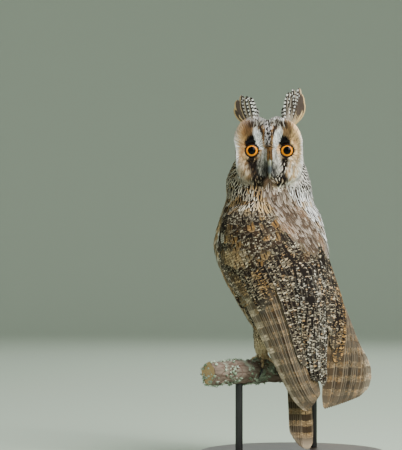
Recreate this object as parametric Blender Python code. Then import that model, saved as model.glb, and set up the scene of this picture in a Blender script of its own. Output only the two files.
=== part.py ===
"""A long-eared owl, still and life-size, perched with its back half turned and its face to the viewer.

The body is seen from behind and a little from its left. The head is turned right round, so the face
looks along -Y. A short cut branch under the feet stands on two rods and a round base.
Metres, +Z up, origin at the middle of the base's underside.
"""

import math
import random

import bmesh
import bpy
import numpy as np
from mathutils import Vector

# Stand and perch
BASE_RADIUS = 0.103
BASE_HEIGHT = 0.012
BASE_EDGE = 0.003
ROD_RADIUS = 0.004
ROD_SIDE = 0.052
PERCH_RADIUS = 0.013
PERCH_HEIGHT = 0.100
PERCH_LEFT = -0.094
PERCH_RIGHT = 0.112

# How the owl sits over the base
BODY_TURN = math.radians(36)
BODY_X = -0.017
BODY_Y = 0.013
GAP = 0.0003

# Head, which faces -Y
HEAD_X = -0.0259
HEAD_HEIGHT = 0.342
FACE_Y = -0.020
DISC_HALF_WIDTH = 0.0382
DISC_UP = 0.0385
DISC_DOWN = 0.0400
HEAD_DEPTH = 0.069
EYE_SPACING = 0.0386
EYE_RADIUS = 0.0100
EYE_OPENING = 0.0074
LID_THICKNESS = 0.0017

# Torso sections from the belly up: height, middle behind the feet, half width, half depth
TORSO = (
    (0.119, 0.029, 0.010, 0.010),
    (0.128, 0.027, 0.025, 0.024),
    (0.150, 0.020, 0.040, 0.038),
    (0.178, 0.009, 0.050, 0.049),
    (0.205, -0.006, 0.056, 0.054),
    (0.236, -0.017, 0.060, 0.057),
    (0.264, -0.016, 0.056, 0.050),
    (0.292, -0.012, 0.050, 0.043),
)
# Neck sections: height, middle along X and Y, half width, half depth
NECK = (
    (0.292, -0.0241, 0.0227, 0.049, 0.043),
    (0.309, -0.0262, 0.0215, 0.0480, 0.0375),
    (0.322, -0.0257, 0.0200, 0.0435, 0.0345),
    (0.336, -0.0257, 0.0180, 0.0370, 0.0300),
)

# Wings: one row for each station down the wing, with the leading edge's place, then the inner
# edge's, each as side, back and height, and last the swell of the surface between them
WING_LEFT = (
    (-0.056, -0.018, 0.274, -0.034, 0.020, 0.289, 0.005),
    (-0.063, -0.020, 0.250, -0.031, 0.034, 0.268, 0.012),
    (-0.061, -0.019, 0.214, -0.021, 0.048, 0.240, 0.016),
    (-0.056, 0.008, 0.172, -0.012, 0.059, 0.206, 0.016),
    (-0.048, 0.033, 0.130, -0.010, 0.067, 0.164, 0.012),
    (-0.036, 0.052, 0.092, -0.008, 0.074, 0.116, 0.008),
    (-0.020, 0.066, 0.055, 0.008, 0.078, 0.066, 0.002),
)
WING_RIGHT = (
    (0.053, -0.020, 0.274, 0.030, 0.018, 0.289, 0.004),
    (0.058, -0.022, 0.250, 0.026, 0.030, 0.268, 0.009),
    (0.058, -0.016, 0.214, 0.019, 0.046, 0.240, 0.012),
    (0.061, 0.012, 0.176, 0.011, 0.060, 0.206, 0.014),
    (0.067, 0.045, 0.138, 0.007, 0.076, 0.166, 0.013),
    (0.078, 0.075, 0.102, 0.001, 0.073, 0.116, 0.008),
    (0.072, 0.082, 0.080, -0.001, 0.070, 0.052, 0.003),
)

# Where the innermost flight feather ends, as a part of the wing's length
INNER_TIP_LEFT = 0.96
INNER_TIP_RIGHT = 0.985

# Feathers
LAYER = 0.00092
VANE_EDGE = 0.0005
VANE_MIDDLE = 0.0007
VANE_POINT = 0.06
PRIMARIES = 8
SECONDARIES = 6
TERTIALS = 3
GREATER_COVERTS = 5
PRIMARY_COVERTS = 3
SCAPULARS = 4
TAIL_FEATHERS = 12
TAIL_TOP = (-0.004, 0.046, 0.142)
TAIL_TIP = (-0.003, 0.058, 0.0175)
TAIL_HALF_WIDTH = 0.0085
TAIL_SPREAD = 0.0100

# Ear tufts, in metres from the head's middle: root x and z, tip x and z, half width, sideways bow
TUFT_LEFT = (
    (0.0215, 0.0350, 0.0215, 0.0640, 0.0040, -0.0015),
    (0.0235, 0.0350, 0.0265, 0.0675, 0.0046, 0.0010),
    (0.0255, 0.0345, 0.0325, 0.0690, 0.0050, 0.0030),
    (0.0275, 0.0335, 0.0350, 0.0625, 0.0050, 0.0040),
    (0.0285, 0.0325, 0.0372, 0.0545, 0.0045, 0.0036),
    (0.0190, 0.0350, 0.0165, 0.0490, 0.0036, -0.0010),
)
TUFT_RIGHT = (
    (-0.0185, 0.0350, -0.0205, 0.0585, 0.0042, 0.0010),
    (-0.0205, 0.0350, -0.0245, 0.0600, 0.0046, -0.0010),
    (-0.0225, 0.0345, -0.0300, 0.0612, 0.0050, -0.0025),
    (-0.0250, 0.0335, -0.0345, 0.0560, 0.0050, -0.0035),
    (-0.0270, 0.0325, -0.0365, 0.0480, 0.0045, -0.0030),
    (-0.0165, 0.0350, -0.0145, 0.0480, 0.0036, 0.0010),
)

# Bill rows from root to tip: Y, height, half width, half thickness
BILL_UPPER = (
    (-0.0080, 0.3355, 0.0052, 0.0060),
    (-0.0190, 0.3345, 0.0050, 0.0055),
    (-0.0265, 0.3290, 0.0040, 0.0044),
    (-0.0295, 0.3215, 0.0026, 0.0030),
    (-0.0290, 0.3150, 0.0014, 0.0016),
    (-0.0280, 0.3110, 0.0004, 0.0005),
)
# Lower bill from root to tip: Y, height, radius
BILL_LOWER = (
    (-0.0080, 0.3245, 0.0044),
    (-0.0180, 0.3225, 0.0040),
    (-0.0245, 0.3185, 0.0026),
    (-0.0268, 0.3150, 0.0006),
)

# Legs from belly to ankle: behind the toes, height, radius
LEG = (
    (0.012, 0.168, 0.0170),
    (0.007, 0.148, 0.0150),
    (0.002, 0.132, 0.0105),
    (0.000, 0.1225, 0.0078),
)
LEG_SIDE = 0.021
# Toes: where each starts and how far it splays along the perch, to the front (-1) or back (1)
TOES = (
    (-0.004, -0.004, -1),
    (0.005, 0.005, -1),
    (0.004, 0.006, 1),
    (-0.004, -0.007, 1),
)
TOE_RADIUS = 0.0034
CLAW_RADIUS = 0.0017

# Rump that carries the tail: side, back, height, half width, half depth
RUMP = (
    (-0.004, 0.036, 0.152, 0.020, 0.010),
    (-0.004, 0.043, 0.130, 0.017, 0.0085),
    (-0.004, 0.047, 0.108, 0.012, 0.006),
    (-0.0035, 0.049, 0.092, 0.008, 0.003),
)
# Back of the head: size of the outline and depth behind the face
NAPE = (
    (0.985, 0.09),
    (1.0, 0.20),
    (0.985, 0.34),
    (0.94, 0.48),
    (0.85, 0.62),
    (0.71, 0.76),
    (0.51, 0.88),
    (0.24, 0.97),
)

# Red, green, blue and roughness by the first word of a piece's name
COLOURS = {
    "head": (0.42, 0.31, 0.18, 0.9),
    "neck": (0.45, 0.37, 0.26, 0.9),
    "torso": (0.40, 0.30, 0.19, 0.9),
    "wing": (0.22, 0.17, 0.12, 0.8),
    "tail": (0.26, 0.20, 0.14, 0.8),
    "ear": (0.08, 0.06, 0.05, 0.8),
    "eye": (0.85, 0.32, 0.02, 0.1),
    "bill": (0.10, 0.10, 0.09, 0.4),
    "leg": (0.60, 0.48, 0.32, 0.9),
    "foot": (0.62, 0.50, 0.34, 0.9),
    "claw": (0.03, 0.03, 0.03, 0.3),
    "perch": (0.28, 0.24, 0.19, 0.9),
    "stand": (0.09, 0.07, 0.06, 0.5),
}

SEED = 7


def clear_scene():
    """Removes whatever the scene holds before the model is made."""
    for old in list(bpy.data.objects):
        bpy.data.objects.remove(old, do_unlink=True)


def bird(side, back, up):
    """The place that lies this far to the owl's right, behind its feet and above the floor."""
    cos, sin = math.cos(BODY_TURN), math.sin(BODY_TURN)
    return Vector((BODY_X + side * cos + back * sin, BODY_Y + side * sin - back * cos, up))


def heading(side, back):
    """The level direction that points this much to the owl's right and behind it."""
    return bird(side, back, 0) - bird(0, 0, 0)


def row_at(rows, t):
    """A smooth curve through the rows of a table, read at t from 0 to 1."""
    table = np.asarray(rows, dtype=float)
    last = len(table) - 1
    place = min(max(t, 0.0), 1.0) * last
    k = min(int(place), last - 1)
    u = place - k
    before = table[max(k - 1, 0)]
    after = table[min(k + 2, last)]
    a, b = table[k], table[k + 1]
    slope_a = (b - before) / (2 if k > 0 else 1)
    slope_b = (after - a) / (2 if k + 2 <= last else 1)
    return (
        (2 * u**3 - 3 * u**2 + 1) * a
        + (u**3 - 2 * u**2 + u) * slope_a
        + (3 * u**2 - 2 * u**3) * b
        + (u**3 - u**2) * slope_b
    )


def ease(value, low, high):
    """0 below low, 1 above high, and a smooth step between."""
    u = min(max((value - low) / (high - low), 0.0), 1.0)
    return u * u * (3 - 2 * u)


def link(name, points, faces):
    """An object with this mesh, its faces turned outwards."""
    mesh = bpy.data.meshes.new(name)
    mesh.from_pydata([tuple(p) for p in points], [], faces)
    bm = bmesh.new()
    bm.from_mesh(mesh)
    bmesh.ops.recalc_face_normals(bm, faces=bm.faces)
    bmesh.ops.triangulate(bm, faces=bm.faces)
    bm.to_mesh(mesh)
    bm.free()
    obj = bpy.data.objects.new(name, mesh)
    bpy.context.scene.collection.objects.link(obj)
    return obj


def loft(name, rings):
    """A closed surface through rings of points, each end closed by a fan on its middle."""
    count = len(rings[0])
    points = [p for ring in rings for p in ring]
    faces = []
    for k in range(len(rings) - 1):
        for j in range(count):
            a, b = k * count + j, k * count + (j + 1) % count
            faces.append((a, b, b + count, a + count))
    for start in (0, (len(rings) - 1) * count):
        middle = sum((Vector(p) for p in points[start : start + count]), Vector()) / count
        points.append(middle)
        hub = len(points) - 1
        faces += [(start + j, start + (j + 1) % count, hub) for j in range(count)]
    return link(name, points, faces)


def ring(middle, across, along, half_width, half_depth, count, power=2.0):
    """A closed outline about a middle: an ellipse at power 2, squarer above it."""
    out = []
    for j in range(count):
        angle = 2 * math.pi * j / count
        c, s = math.cos(angle), math.sin(angle)
        x = math.copysign(abs(c) ** (2 / power), c)
        y = math.copysign(abs(s) ** (2 / power), s)
        out.append(Vector(middle) + across * (half_width * x) + along * (half_depth * y))
    return out


def limb(name, path, radii, count, up=Vector((0, 0, 1)), flat=1.0):
    """A round, tapering limb along a path, one radius for each of its points."""
    path = [Vector(p) for p in path]
    rings = []
    for k, middle in enumerate(path):
        ahead = path[min(k + 1, len(path) - 1)] - path[max(k - 1, 0)]
        across = ahead.cross(up).normalized()
        over = across.cross(ahead).normalized()
        rings.append(ring(middle, across, over, radii[k], radii[k] * flat, count))
    return loft(name, rings)


def grown(obj, by=GAP):
    """A copy of an object that is larger all round by a gap."""
    copy = obj.copy()
    copy.data = obj.data.copy()
    bpy.context.scene.collection.objects.link(copy)
    shifts = [v.normal.copy() * by * 1.15 for v in copy.data.vertices]
    for vertex, shift in zip(copy.data.vertices, shifts):
        vertex.co += shift
    return copy


def largest_surface(obj):
    """Keeps the largest closed surface of a mesh and drops the rest."""
    bm = bmesh.new()
    bm.from_mesh(obj.data)
    bmesh.ops.remove_doubles(bm, verts=bm.verts, dist=1e-6)
    left = set(bm.faces)
    best, best_volume = set(), -1.0
    while left:
        stack = [left.pop()]
        found = set(stack)
        while stack:
            for edge in stack.pop().edges:
                for face in edge.link_faces:
                    if face in left:
                        left.remove(face)
                        found.add(face)
                        stack.append(face)
        volume = abs(sum(f.calc_center_median().dot(f.normal) * f.calc_area() for f in found))
        if volume > best_volume:
            best, best_volume = found, volume
    bmesh.ops.delete(bm, geom=[f for f in bm.faces if f not in best], context="FACES")
    loose = [v for v in bm.verts if not v.link_faces]
    bmesh.ops.delete(bm, geom=loose, context="VERTS")
    bm.to_mesh(obj.data)
    bm.free()


def combine(target, tools, operation, solver="MANIFOLD"):
    """Joins the tools to the target, or cuts them from it, and removes them."""
    folder = bpy.data.collections.new("pieces")
    for tool in tools:
        bpy.context.scene.collection.objects.unlink(tool)
        folder.objects.link(tool)
    modifier = target.modifiers.new("combine", "BOOLEAN")
    modifier.operation = operation
    modifier.solver = solver
    modifier.operand_type = "COLLECTION"
    modifier.collection = folder
    bpy.context.view_layer.update()
    graph = bpy.context.evaluated_depsgraph_get()
    mesh = bpy.data.meshes.new_from_object(target.evaluated_get(graph))
    target.modifiers.remove(modifier)
    target.data = mesh
    for tool in tools:
        bpy.data.objects.remove(tool, do_unlink=True)
    bpy.data.collections.remove(folder)
    largest_surface(target)
    return target


def vane(name, surface, stations=(0.0, 0.30, 0.62, 0.88, 1.0), tip=0.35, root=0.45):
    """A thin feather blade on surface(s, x), which gives a place and its outward normal.

    s runs from root to tip and x across, from -1 to 1. Both faces are split alike.
    """
    tops, bottoms = [], []
    for s in stations:
        widen = root + (1 - root) * ease(s, 0.0, 0.4)
        narrow = 1 - (1 - tip) * ease(s, 0.78, 1.0) ** 1.4
        for x in (-1.0, 0.0, 1.0):
            place, normal = surface(s, x * widen * narrow)
            thick = VANE_EDGE if x else VANE_MIDDLE * (1 - 0.4 * s)
            tops.append(place + normal * thick / 2)
            bottoms.append(place - normal * thick / 2)
    count = len(stations)
    points = tops + bottoms
    under = len(tops)
    faces = []
    for k in range(count - 1):
        for j in range(2):
            a = 3 * k + j
            faces += [(a, a + 1, a + 4), (a, a + 4, a + 3)]
            a += under
            faces += [(a, a + 4, a + 1), (a, a + 3, a + 4)]
        for j in (0, 2):
            a, b = 3 * k + j, 3 * k + j + 3
            faces.append((a, b, b + under, a + under))
    for k in (0, count - 1):
        for j in range(2):
            a = 3 * k + j
            faces.append((a, a + 1, a + 1 + under, a + under))
    return link(name, points, faces)


def wing_skin(rows, along, across):
    """Place and outward normal on a wing's surface, from shoulder to tip and leading to inner edge."""

    def flat(u, v):
        row = row_at(rows, u)
        lead, inner = Vector(row[0:3]), Vector(row[3:6])
        return lead.lerp(inner, v), row[6]

    def swollen(u, v):
        place, swell = flat(u, v)
        down = flat(min(u + 0.02, 1.0), v)[0] - flat(max(u - 0.02, 0.0), v)[0]
        over = flat(u, v + 0.02)[0] - flat(u, v - 0.02)[0]
        normal = down.cross(over).normalized()
        if normal.x * place.x + normal.y * (place.y + 0.03) < 0:
            normal.negate()
        return place + normal * swell * 4 * v * (1 - v), normal

    place, outward = swollen(along, across)
    down = swollen(min(along + 0.01, 1.0), across)[0] - swollen(max(along - 0.01, 0.0), across)[0]
    over = swollen(along, across + 0.01)[0] - swollen(along, across - 0.01)[0]
    normal = down.cross(over).normalized()
    if normal.dot(outward) < 0:
        normal.negate()
    origin = bird(0, 0, 0)
    return bird(*place), bird(*normal) - origin


def wing_width(rows, along):
    """How far the leading edge and the inner edge of a wing are apart at a station."""
    row = row_at(rows, along)
    return max((Vector(row[0:3]) - Vector(row[3:6])).length, 0.004)


def wing_tier(rows, tier):
    """The overlapping vanes of one tier, each a step nearer the inner edge and a layer higher.

    Their stations lie at the same places along the wing, so that neighbours stay parallel.
    """
    vanes = []
    count = len(tier["roots"])
    point = min(along for along, across in tier["tips"]) - VANE_POINT
    for k, (root, tip) in enumerate(zip(tier["roots"], tier["tips"])):
        beside = k + 1 if k + 1 < count else k - 1
        step_root = abs(tier["roots"][beside][1] - root[1])
        step_tip = abs(tier["tips"][beside][1] - tip[1])
        half_width = tier["half_width"][k]

        def surface(s, x, root=root, tip=tip, step_root=step_root, step_tip=step_tip, half=half_width):
            along = root[0] + (tip[0] - root[0]) * s
            middle = root[1] + (tip[1] - root[1]) * s
            step = max(step_root + (step_tip - step_root) * s, 0.012)
            shift = x * half / wing_width(rows, along)
            place, normal = wing_skin(rows, along, middle + shift)
            lift = tier["height"] - tier["sink"] * (1 - ease(s, 0.0, 0.25))
            rise = -tier["layer"] * shift / step
            return place + normal * (lift + rise), normal

        reach = tip[0] - root[0]
        stations = [0.0] + [(along - root[0]) / reach for along in (*tier["knots"], point)] + [1.0]
        vanes.append(vane("vane", surface, stations, tier["blunt"]))
    return vanes


def spaced(start, end, count):
    """Values at even steps from start to end."""
    return [start + (end - start) * k / (count - 1) for k in range(count)]


def wing_tiers(inner_tip, rng):
    """Roots, tips and widths of every tier, as stations along and across the wing.

    The innermost flight feather ends at inner_tip.
    """

    def tier(count, root, tip, root_across, tip_across, half_width, **more):
        tips = [along + rng.uniform(-0.004, 0.004) for along in tip]
        return {
            "roots": list(zip([root] * count, spaced(*root_across, count))),
            "tips": list(zip(tips, spaced(*tip_across, count))),
            "half_width": spaced(*half_width, count),
            **more,
        }

    flights = PRIMARIES + SECONDARIES
    flight_tips = [0.975, 0.99, 0.995] + spaced(0.985, inner_tip, flights - 3)
    return (
        tier(
            flights, 0.28, flight_tips, (0.16, 0.80), (0.24, 0.86), (0.0055, 0.0075),
            height=0.0, layer=LAYER * 1.35, sink=0.0004, blunt=0.42, knots=(0.44, 0.60, 0.76),
        ),
        tier(
            TERTIALS, 0.24, spaced(0.76, 0.60, TERTIALS), (0.66, 0.84), (0.74, 0.92), (0.0085, 0.0085),
            height=0.0037, layer=LAYER * 1.6, sink=0.0028, blunt=0.45, knots=(0.36, 0.48),
        ),
        tier(
            PRIMARY_COVERTS, 0.18, spaced(0.42, 0.46, PRIMARY_COVERTS), (0.06, 0.22), (0.10, 0.27),
            (0.0062, 0.0062), height=0.0044, layer=LAYER * 1.4, sink=0.0028, blunt=0.40, knots=(0.26, 0.34),
        ),
        tier(
            GREATER_COVERTS, 0.17, spaced(0.49, 0.45, GREATER_COVERTS), (0.29, 0.62), (0.32, 0.65),
            (0.0078, 0.0078), height=0.0060, layer=LAYER * 1.3, sink=0.0038, blunt=0.45, knots=(0.26, 0.34),
        ),
        tier(
            SCAPULARS, 0.06, spaced(0.34, 0.50, SCAPULARS), (0.62, 0.86), (0.72, 1.00),
            (0.0080, 0.0080), height=0.0080, layer=LAYER * 1.7, sink=0.0070, blunt=0.45, knots=(0.15, 0.24),
        ),
    )


def wing_arm(rows):
    """The fleshy front of the wing, smooth and rounded, which all its feathers grow from."""
    stations = spaced(0.0, 0.42, 6)
    rings = []
    for along in stations:
        outline = []
        full = ease(along, -0.08, 0.10)
        thick_out = (0.0056 * full) * (1 - ease(along, 0.20, 0.42)) - 0.0012 * ease(along, 0.2, 0.42)
        thick_in = 0.010 * (1 - ease(along, 0.26, 0.42)) + 0.0016
        pad = 0.0040 * full * (1 - ease(along, 0.12, 0.26))
        across_steps = spaced(0.02, 0.98, 6)
        for across in across_steps:
            edge = math.sqrt(max(1 - (2 * across - 1) ** 4, 0.0))
            place, normal = wing_skin(rows, along, across)
            over = thick_out + pad * ease(across, 0.4, 0.8)
            outline.append(place + normal * (over * edge))
        for across in reversed(across_steps):
            edge = math.sqrt(max(1 - (2 * across - 1) ** 4, 0.0))
            place, normal = wing_skin(rows, along, across)
            outline.append(place - normal * (thick_in * edge + 0.0008))
        rings.append(outline)
    return loft("arm", rings)


def make_wing(name, rows, inner_tip, torso, rng):
    """One folded wing: its arm and its tiers of feathers, fused, and cut to lie on the torso."""
    wing = wing_arm(rows)
    vanes = [blade for tier in wing_tiers(inner_tip, rng) for blade in wing_tier(rows, tier)]
    combine(wing, vanes, "UNION")
    combine(wing, [grown(torso)], "DIFFERENCE")
    wing.name = name
    return wing


def body_ring(height, middle, half_width, half_depth, count=28):
    """A level section of the torso, squarer than an ellipse."""
    across = heading(1, 0)
    along = heading(0, 1)
    return ring(bird(0, middle, height), across, along, half_width, half_depth, count, 2.2)


def make_torso():
    """Breast, belly and back in one smooth form, from the belly's end to the foot of the neck."""
    rings = [body_ring(*row_at(TORSO, t)) for t in spaced(0.0, 1.0, 12)]
    return loft("torso", rings)


def make_neck(head):
    """The thick ruff of the neck, from the shoulders up into the head."""
    torso_top = body_ring(*TORSO[-1])
    rings = [[p + Vector((0, 0, GAP)) for p in torso_top]]
    turn = round(BODY_TURN / (2 * math.pi) * len(torso_top))
    for t in spaced(0.2, 1.0, 6):
        height, x, y, half_width, half_depth = row_at(NECK, t)
        middle = (x, y, height)
        axes = (Vector((1, 0, 0)), Vector((0, -1, 0)))
        level = ring(middle, *axes, half_width, half_depth, len(torso_top), 2.1)
        rings.append(level[-turn:] + level[:-turn])
    neck = loft("neck", rings)
    return combine(neck, [grown(head)], "DIFFERENCE")


def face_dish(x, z):
    """How far the face lies behind its foremost plane: dished about the eyes, ridged between them."""
    r = math.hypot(x / DISC_HALF_WIDTH, z / DISC_UP)
    rim = 0.0015 - 0.0030 * math.exp(-(((r - 0.93) / 0.09) ** 2)) + 0.0050 * ease(z / DISC_UP, 0.3, 1.1)
    bowl = 0.0
    for side in (-1, 1):
        from_eye = math.hypot(x - side * EYE_SPACING / 2, z)
        bowl += 0.0045 * math.exp(-((from_eye / 0.017) ** 2))
    ridge = -0.0035 * math.exp(-((x / 0.008) ** 2)) * (1 - ease(abs(z), 0.016, 0.034))
    return rim + bowl + ridge


def disc_outline(angle, scale):
    """The edge of the facial disc: a squarish round with a dent in the crown."""
    c, s = math.cos(angle), math.sin(angle)
    tall = DISC_UP if s > 0 else DISC_DOWN
    power = 2.7 if s > 0 else 3.3
    jowl = 1 + 0.045 * max(-s, 0) ** 0.5
    x = math.copysign(abs(c) ** (2 / power), c) * DISC_HALF_WIDTH * jowl
    z = math.copysign(abs(s) ** (2 / power), s) * tall
    dent = 0.0042 * math.exp(-((x / 0.006) ** 2)) * (s > 0)
    return x * scale, (z - dent) * scale


def make_head(eyes):
    """The head, from the facial disc back to the nape, with lids and sockets."""
    count = 30
    rings = []
    for scale in (0.10, 0.28, 0.44, 0.58, 0.70, 0.80, 0.89, 0.95):
        level = []
        for j in range(count):
            x, z = disc_outline(2 * math.pi * j / count, scale)
            level.append(Vector((HEAD_X + x, FACE_Y + face_dish(x, z), HEAD_HEIGHT + z)))
        rings.append(level)
    for scale, depth in NAPE:
        level = []
        for j in range(count):
            angle = 2 * math.pi * j / count
            x, z = disc_outline(angle, scale)
            round_x = math.cos(angle) * DISC_HALF_WIDTH * scale
            round_z = math.sin(angle) * DISC_UP * scale
            mix = ease(depth, 0.1, 0.6)
            x += (round_x - x) * mix
            z += (round_z - z) * mix
            level.append(Vector((HEAD_X + x, FACE_Y + depth * HEAD_DEPTH, HEAD_HEIGHT + z)))
        rings.append(level)
    head = loft("head", rings)
    lids = []
    for eye in eyes:
        middle = eye_middle(eye)
        front = middle + Vector((0, -math.sqrt(EYE_RADIUS**2 - EYE_OPENING**2), 0))
        lids.append(lid_ring(front))
    combine(head, lids, "UNION")
    return combine(head, [grown(eye) for eye in eyes], "DIFFERENCE")


def lid_ring(front):
    """The two lids as one soft ring round the eye, fuller above."""
    count, around = 16, 6
    points, faces = [], []
    for j in range(count):
        angle = 2 * math.pi * j / count
        out = Vector((math.cos(angle), 0, math.sin(angle)))
        thick = LID_THICKNESS * (1.0 + 0.35 * max(math.sin(angle), 0))
        middle = front + out * (EYE_OPENING + thick * 0.8) + Vector((0, 0.0008, 0))
        for k in range(around):
            turn = 2 * math.pi * k / around
            deep = Vector((0, 1.3 * thick * math.sin(turn), 0))
            points.append(middle + out * thick * math.cos(turn) + deep)
    for j in range(count):
        for k in range(around):
            a = j * around + k
            b = j * around + (k + 1) % around
            c = ((j + 1) % count) * around + (k + 1) % around
            d = ((j + 1) % count) * around + k
            faces.append((a, b, c, d))
    return link("lid", points, faces)


def eye_middle(eye):
    """The middle of an eyeball."""
    return sum((v.co for v in eye.data.vertices), Vector()) / len(eye.data.vertices)


def make_eye(name, side):
    """An eyeball whose clear front shows between the lids."""
    middle = Vector((HEAD_X + side * EYE_SPACING / 2, FACE_Y + EYE_RADIUS + 0.0008, HEAD_HEIGHT))
    bm = bmesh.new()
    bmesh.ops.create_uvsphere(bm, u_segments=14, v_segments=9, radius=EYE_RADIUS)
    points = [v.co + middle for v in bm.verts]
    faces = [[v.index for v in f.verts] for f in bm.faces]
    bm.free()
    return link(name, points, faces)


def make_bill(head):
    """Upper and lower bill: a hooked horn with nostrils, and the jaw under it.

    The gap between them is the line of the mouth.
    """
    across = Vector((1, 0, 0))
    rings = []
    for t in spaced(0.0, 1.0, 9):
        y, z, half_width, half_height = row_at(BILL_UPPER, t)
        y_next, z_next = row_at(BILL_UPPER, min(t + 0.02, 1.0))[:2]
        y_last, z_last = row_at(BILL_UPPER, max(t - 0.02, 0.0))[:2]
        ahead = Vector((0, y_next - y_last, z_next - z_last)).normalized()
        over = across.cross(ahead).normalized()
        rings.append(ring((HEAD_X, y, z), across, over, half_width, half_height, 12, 1.8))
    upper = loft("bill_upper", rings)
    lower_path = [(HEAD_X, y, z) for y, z, radius in BILL_LOWER]
    lower_radii = [radius for y, z, radius in BILL_LOWER]
    lower = limb("bill_lower", lower_path, lower_radii, 12, flat=0.62)
    nostrils = []
    for side in (-1, 1):
        spot = Vector((HEAD_X + side * 0.0038, FACE_Y - 0.0025, 0.3345))
        out = spot + Vector((side * 0.003, -0.001, 0.0005))
        nostrils.append(limb("nostril", (spot, out), (0.0009, 0.0011), 8))
    combine(upper, nostrils, "DIFFERENCE")
    combine(lower, [grown(upper)], "DIFFERENCE")
    combine(upper, [grown(head)], "DIFFERENCE")
    combine(lower, [grown(head)], "DIFFERENCE")
    return upper, lower


def make_tuft(name, side, feathers, head):
    """An ear tuft, feather by feather, on a seat in the crown."""
    blades = []
    for k, (root_x, root_z, tip_x, tip_z, half, lean) in enumerate(feathers):
        root = Vector((HEAD_X + root_x, FACE_Y + 0.012 + k * 0.0016, HEAD_HEIGHT + root_z))
        tip = Vector((HEAD_X + tip_x, FACE_Y + 0.008 + k * 0.0019, HEAD_HEIGHT + tip_z))
        ahead = (tip - root).normalized()
        across = ahead.cross(Vector((0, 1, 0))).normalized()
        normal = across.cross(ahead).normalized()

        def surface(s, x, root=root, tip=tip, across=across, normal=normal, half=half, lean=lean):
            bow = across * (lean * 4 * s * (1 - s))
            cup = normal * (-0.10 * half * x * x - 0.004 * s * s)
            return root.lerp(tip, s) + bow + across * (x * half) + cup, normal

        blades.append(vane("blade", surface, tip=0.30, root=0.7))
    first, last = feathers[0], feathers[-1]
    middle_x = HEAD_X + (first[0] + last[0]) / 2
    middle_z = HEAD_HEIGHT + (first[1] + last[1]) / 2
    seat = limb(
        name,
        (
            (middle_x - side * 0.001, FACE_Y + 0.0175, middle_z - 0.006),
            (middle_x, FACE_Y + 0.0165, middle_z + 0.000),
            (middle_x + side * 0.001, FACE_Y + 0.0155, middle_z + 0.004),
        ),
        (0.0085, 0.0078, 0.0036),
        12,
        up=Vector((0, 1, 0)),
    )
    combine(seat, blades, "UNION")
    return combine(seat, [grown(head)], "DIFFERENCE")


def make_tail(torso):
    """Twelve tail feathers, the middle pair outermost, rooted in the coverts over the rump."""
    top, tip = Vector(TAIL_TOP), Vector(TAIL_TIP)
    vanes = []
    for k in range(TAIL_FEATHERS):
        place = k - (TAIL_FEATHERS - 1) / 2
        depth = LAYER * (2 * abs(place) - (0.5 if place > 0 else 1.5))
        shift = place / (TAIL_FEATHERS / 2)
        end = tip + Vector((shift * TAIL_SPREAD, -depth, 0.0150 * shift**2))
        start = top + Vector((shift * 0.007, -depth * 0.95, -0.010))

        def surface(s, x, start=start, end=end):
            side, back, up = start.lerp(end, s)
            bow = 0.006 * s * (1 - s)
            return bird(side + x * TAIL_HALF_WIDTH, back + bow, up), heading(0, 1)

        vanes.append(vane("rectrix", surface, tip=0.45, root=0.6))
    rings = []
    for t in spaced(0, 1, 6):
        side, back, up, half_width, half_depth = row_at(RUMP, t)
        rings.append(ring(bird(side, back, up), heading(1, 0), heading(0, 1), half_width, half_depth, 16))
    tail = loft("tail", rings)
    combine(tail, vanes, "UNION")
    return combine(tail, [grown(torso)], "DIFFERENCE")


def make_leg(name, side, torso):
    """A leg in its thick feathering, from the belly down to the toes."""
    path = [bird(side * LEG_SIDE, back, up) for back, up, radius in LEG]
    leg = limb(name, path, [radius for back, up, radius in LEG], 14, up=heading(1, 0))
    return combine(leg, [grown(torso)], "DIFFERENCE")


def round_perch(side, turn, out):
    """A place about the perch: along it, turned from its top towards the back, and out from its skin."""
    reach = PERCH_RADIUS + out
    return bird(side, reach * math.sin(turn), PERCH_HEIGHT + reach * math.cos(turn))


def make_foot(side_name, side, leg, perch):
    """Four feathered toes over the perch, two to the front and two to the back, each with its claw."""
    toes, claws = [], []
    for k, (offset, splay, way) in enumerate(TOES):
        reach = 1.25 if way < 0 else 1.15
        path, radii = [], []
        for s in spaced(0.0, 1.0, 5):
            along = side * LEG_SIDE + offset * (0.4 + 0.6 * s) + splay * s
            path.append(round_perch(along, way * (0.10 + reach * s), TOE_RADIUS * (0.95 - 0.12 * s)))
            radii.append(TOE_RADIUS * (1.05 - 0.22 * s))
        toes.append(limb("toe", path, radii, 8, up=heading(1, 0)))
        claw_path, claw_radii = [], []
        start = 0.10 + reach + GAP * 4 / PERCH_RADIUS
        for s in spaced(0.0, 1.0, 5):
            along = side * LEG_SIDE + offset + splay * (1 + 0.5 * s)
            claw_path.append(round_perch(along, way * (start + 0.72 * s), CLAW_RADIUS * (1.6 - 0.7 * s)))
            claw_radii.append(CLAW_RADIUS * (1.0 - 0.86 * s))
        name = f"claw_{side_name}_{k + 1}"
        claws.append(limb(name, claw_path, claw_radii, 6, up=heading(1, 0)))
    pad = ((-0.006, 0.0030), (0.0, 0.0042), (0.006, 0.0030))
    pad_path = [round_perch(side * LEG_SIDE + along, 0, out) for along, out in pad]
    foot = limb(f"foot_{side_name}", pad_path, (0.0040, 0.0058, 0.0040), 8)
    combine(foot, toes, "UNION")
    combine(foot, [grown(leg)], "DIFFERENCE")
    combine(foot, [grown(perch)], "DIFFERENCE")
    for claw in claws:
        combine(claw, [grown(perch)], "DIFFERENCE")
    return foot


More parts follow.
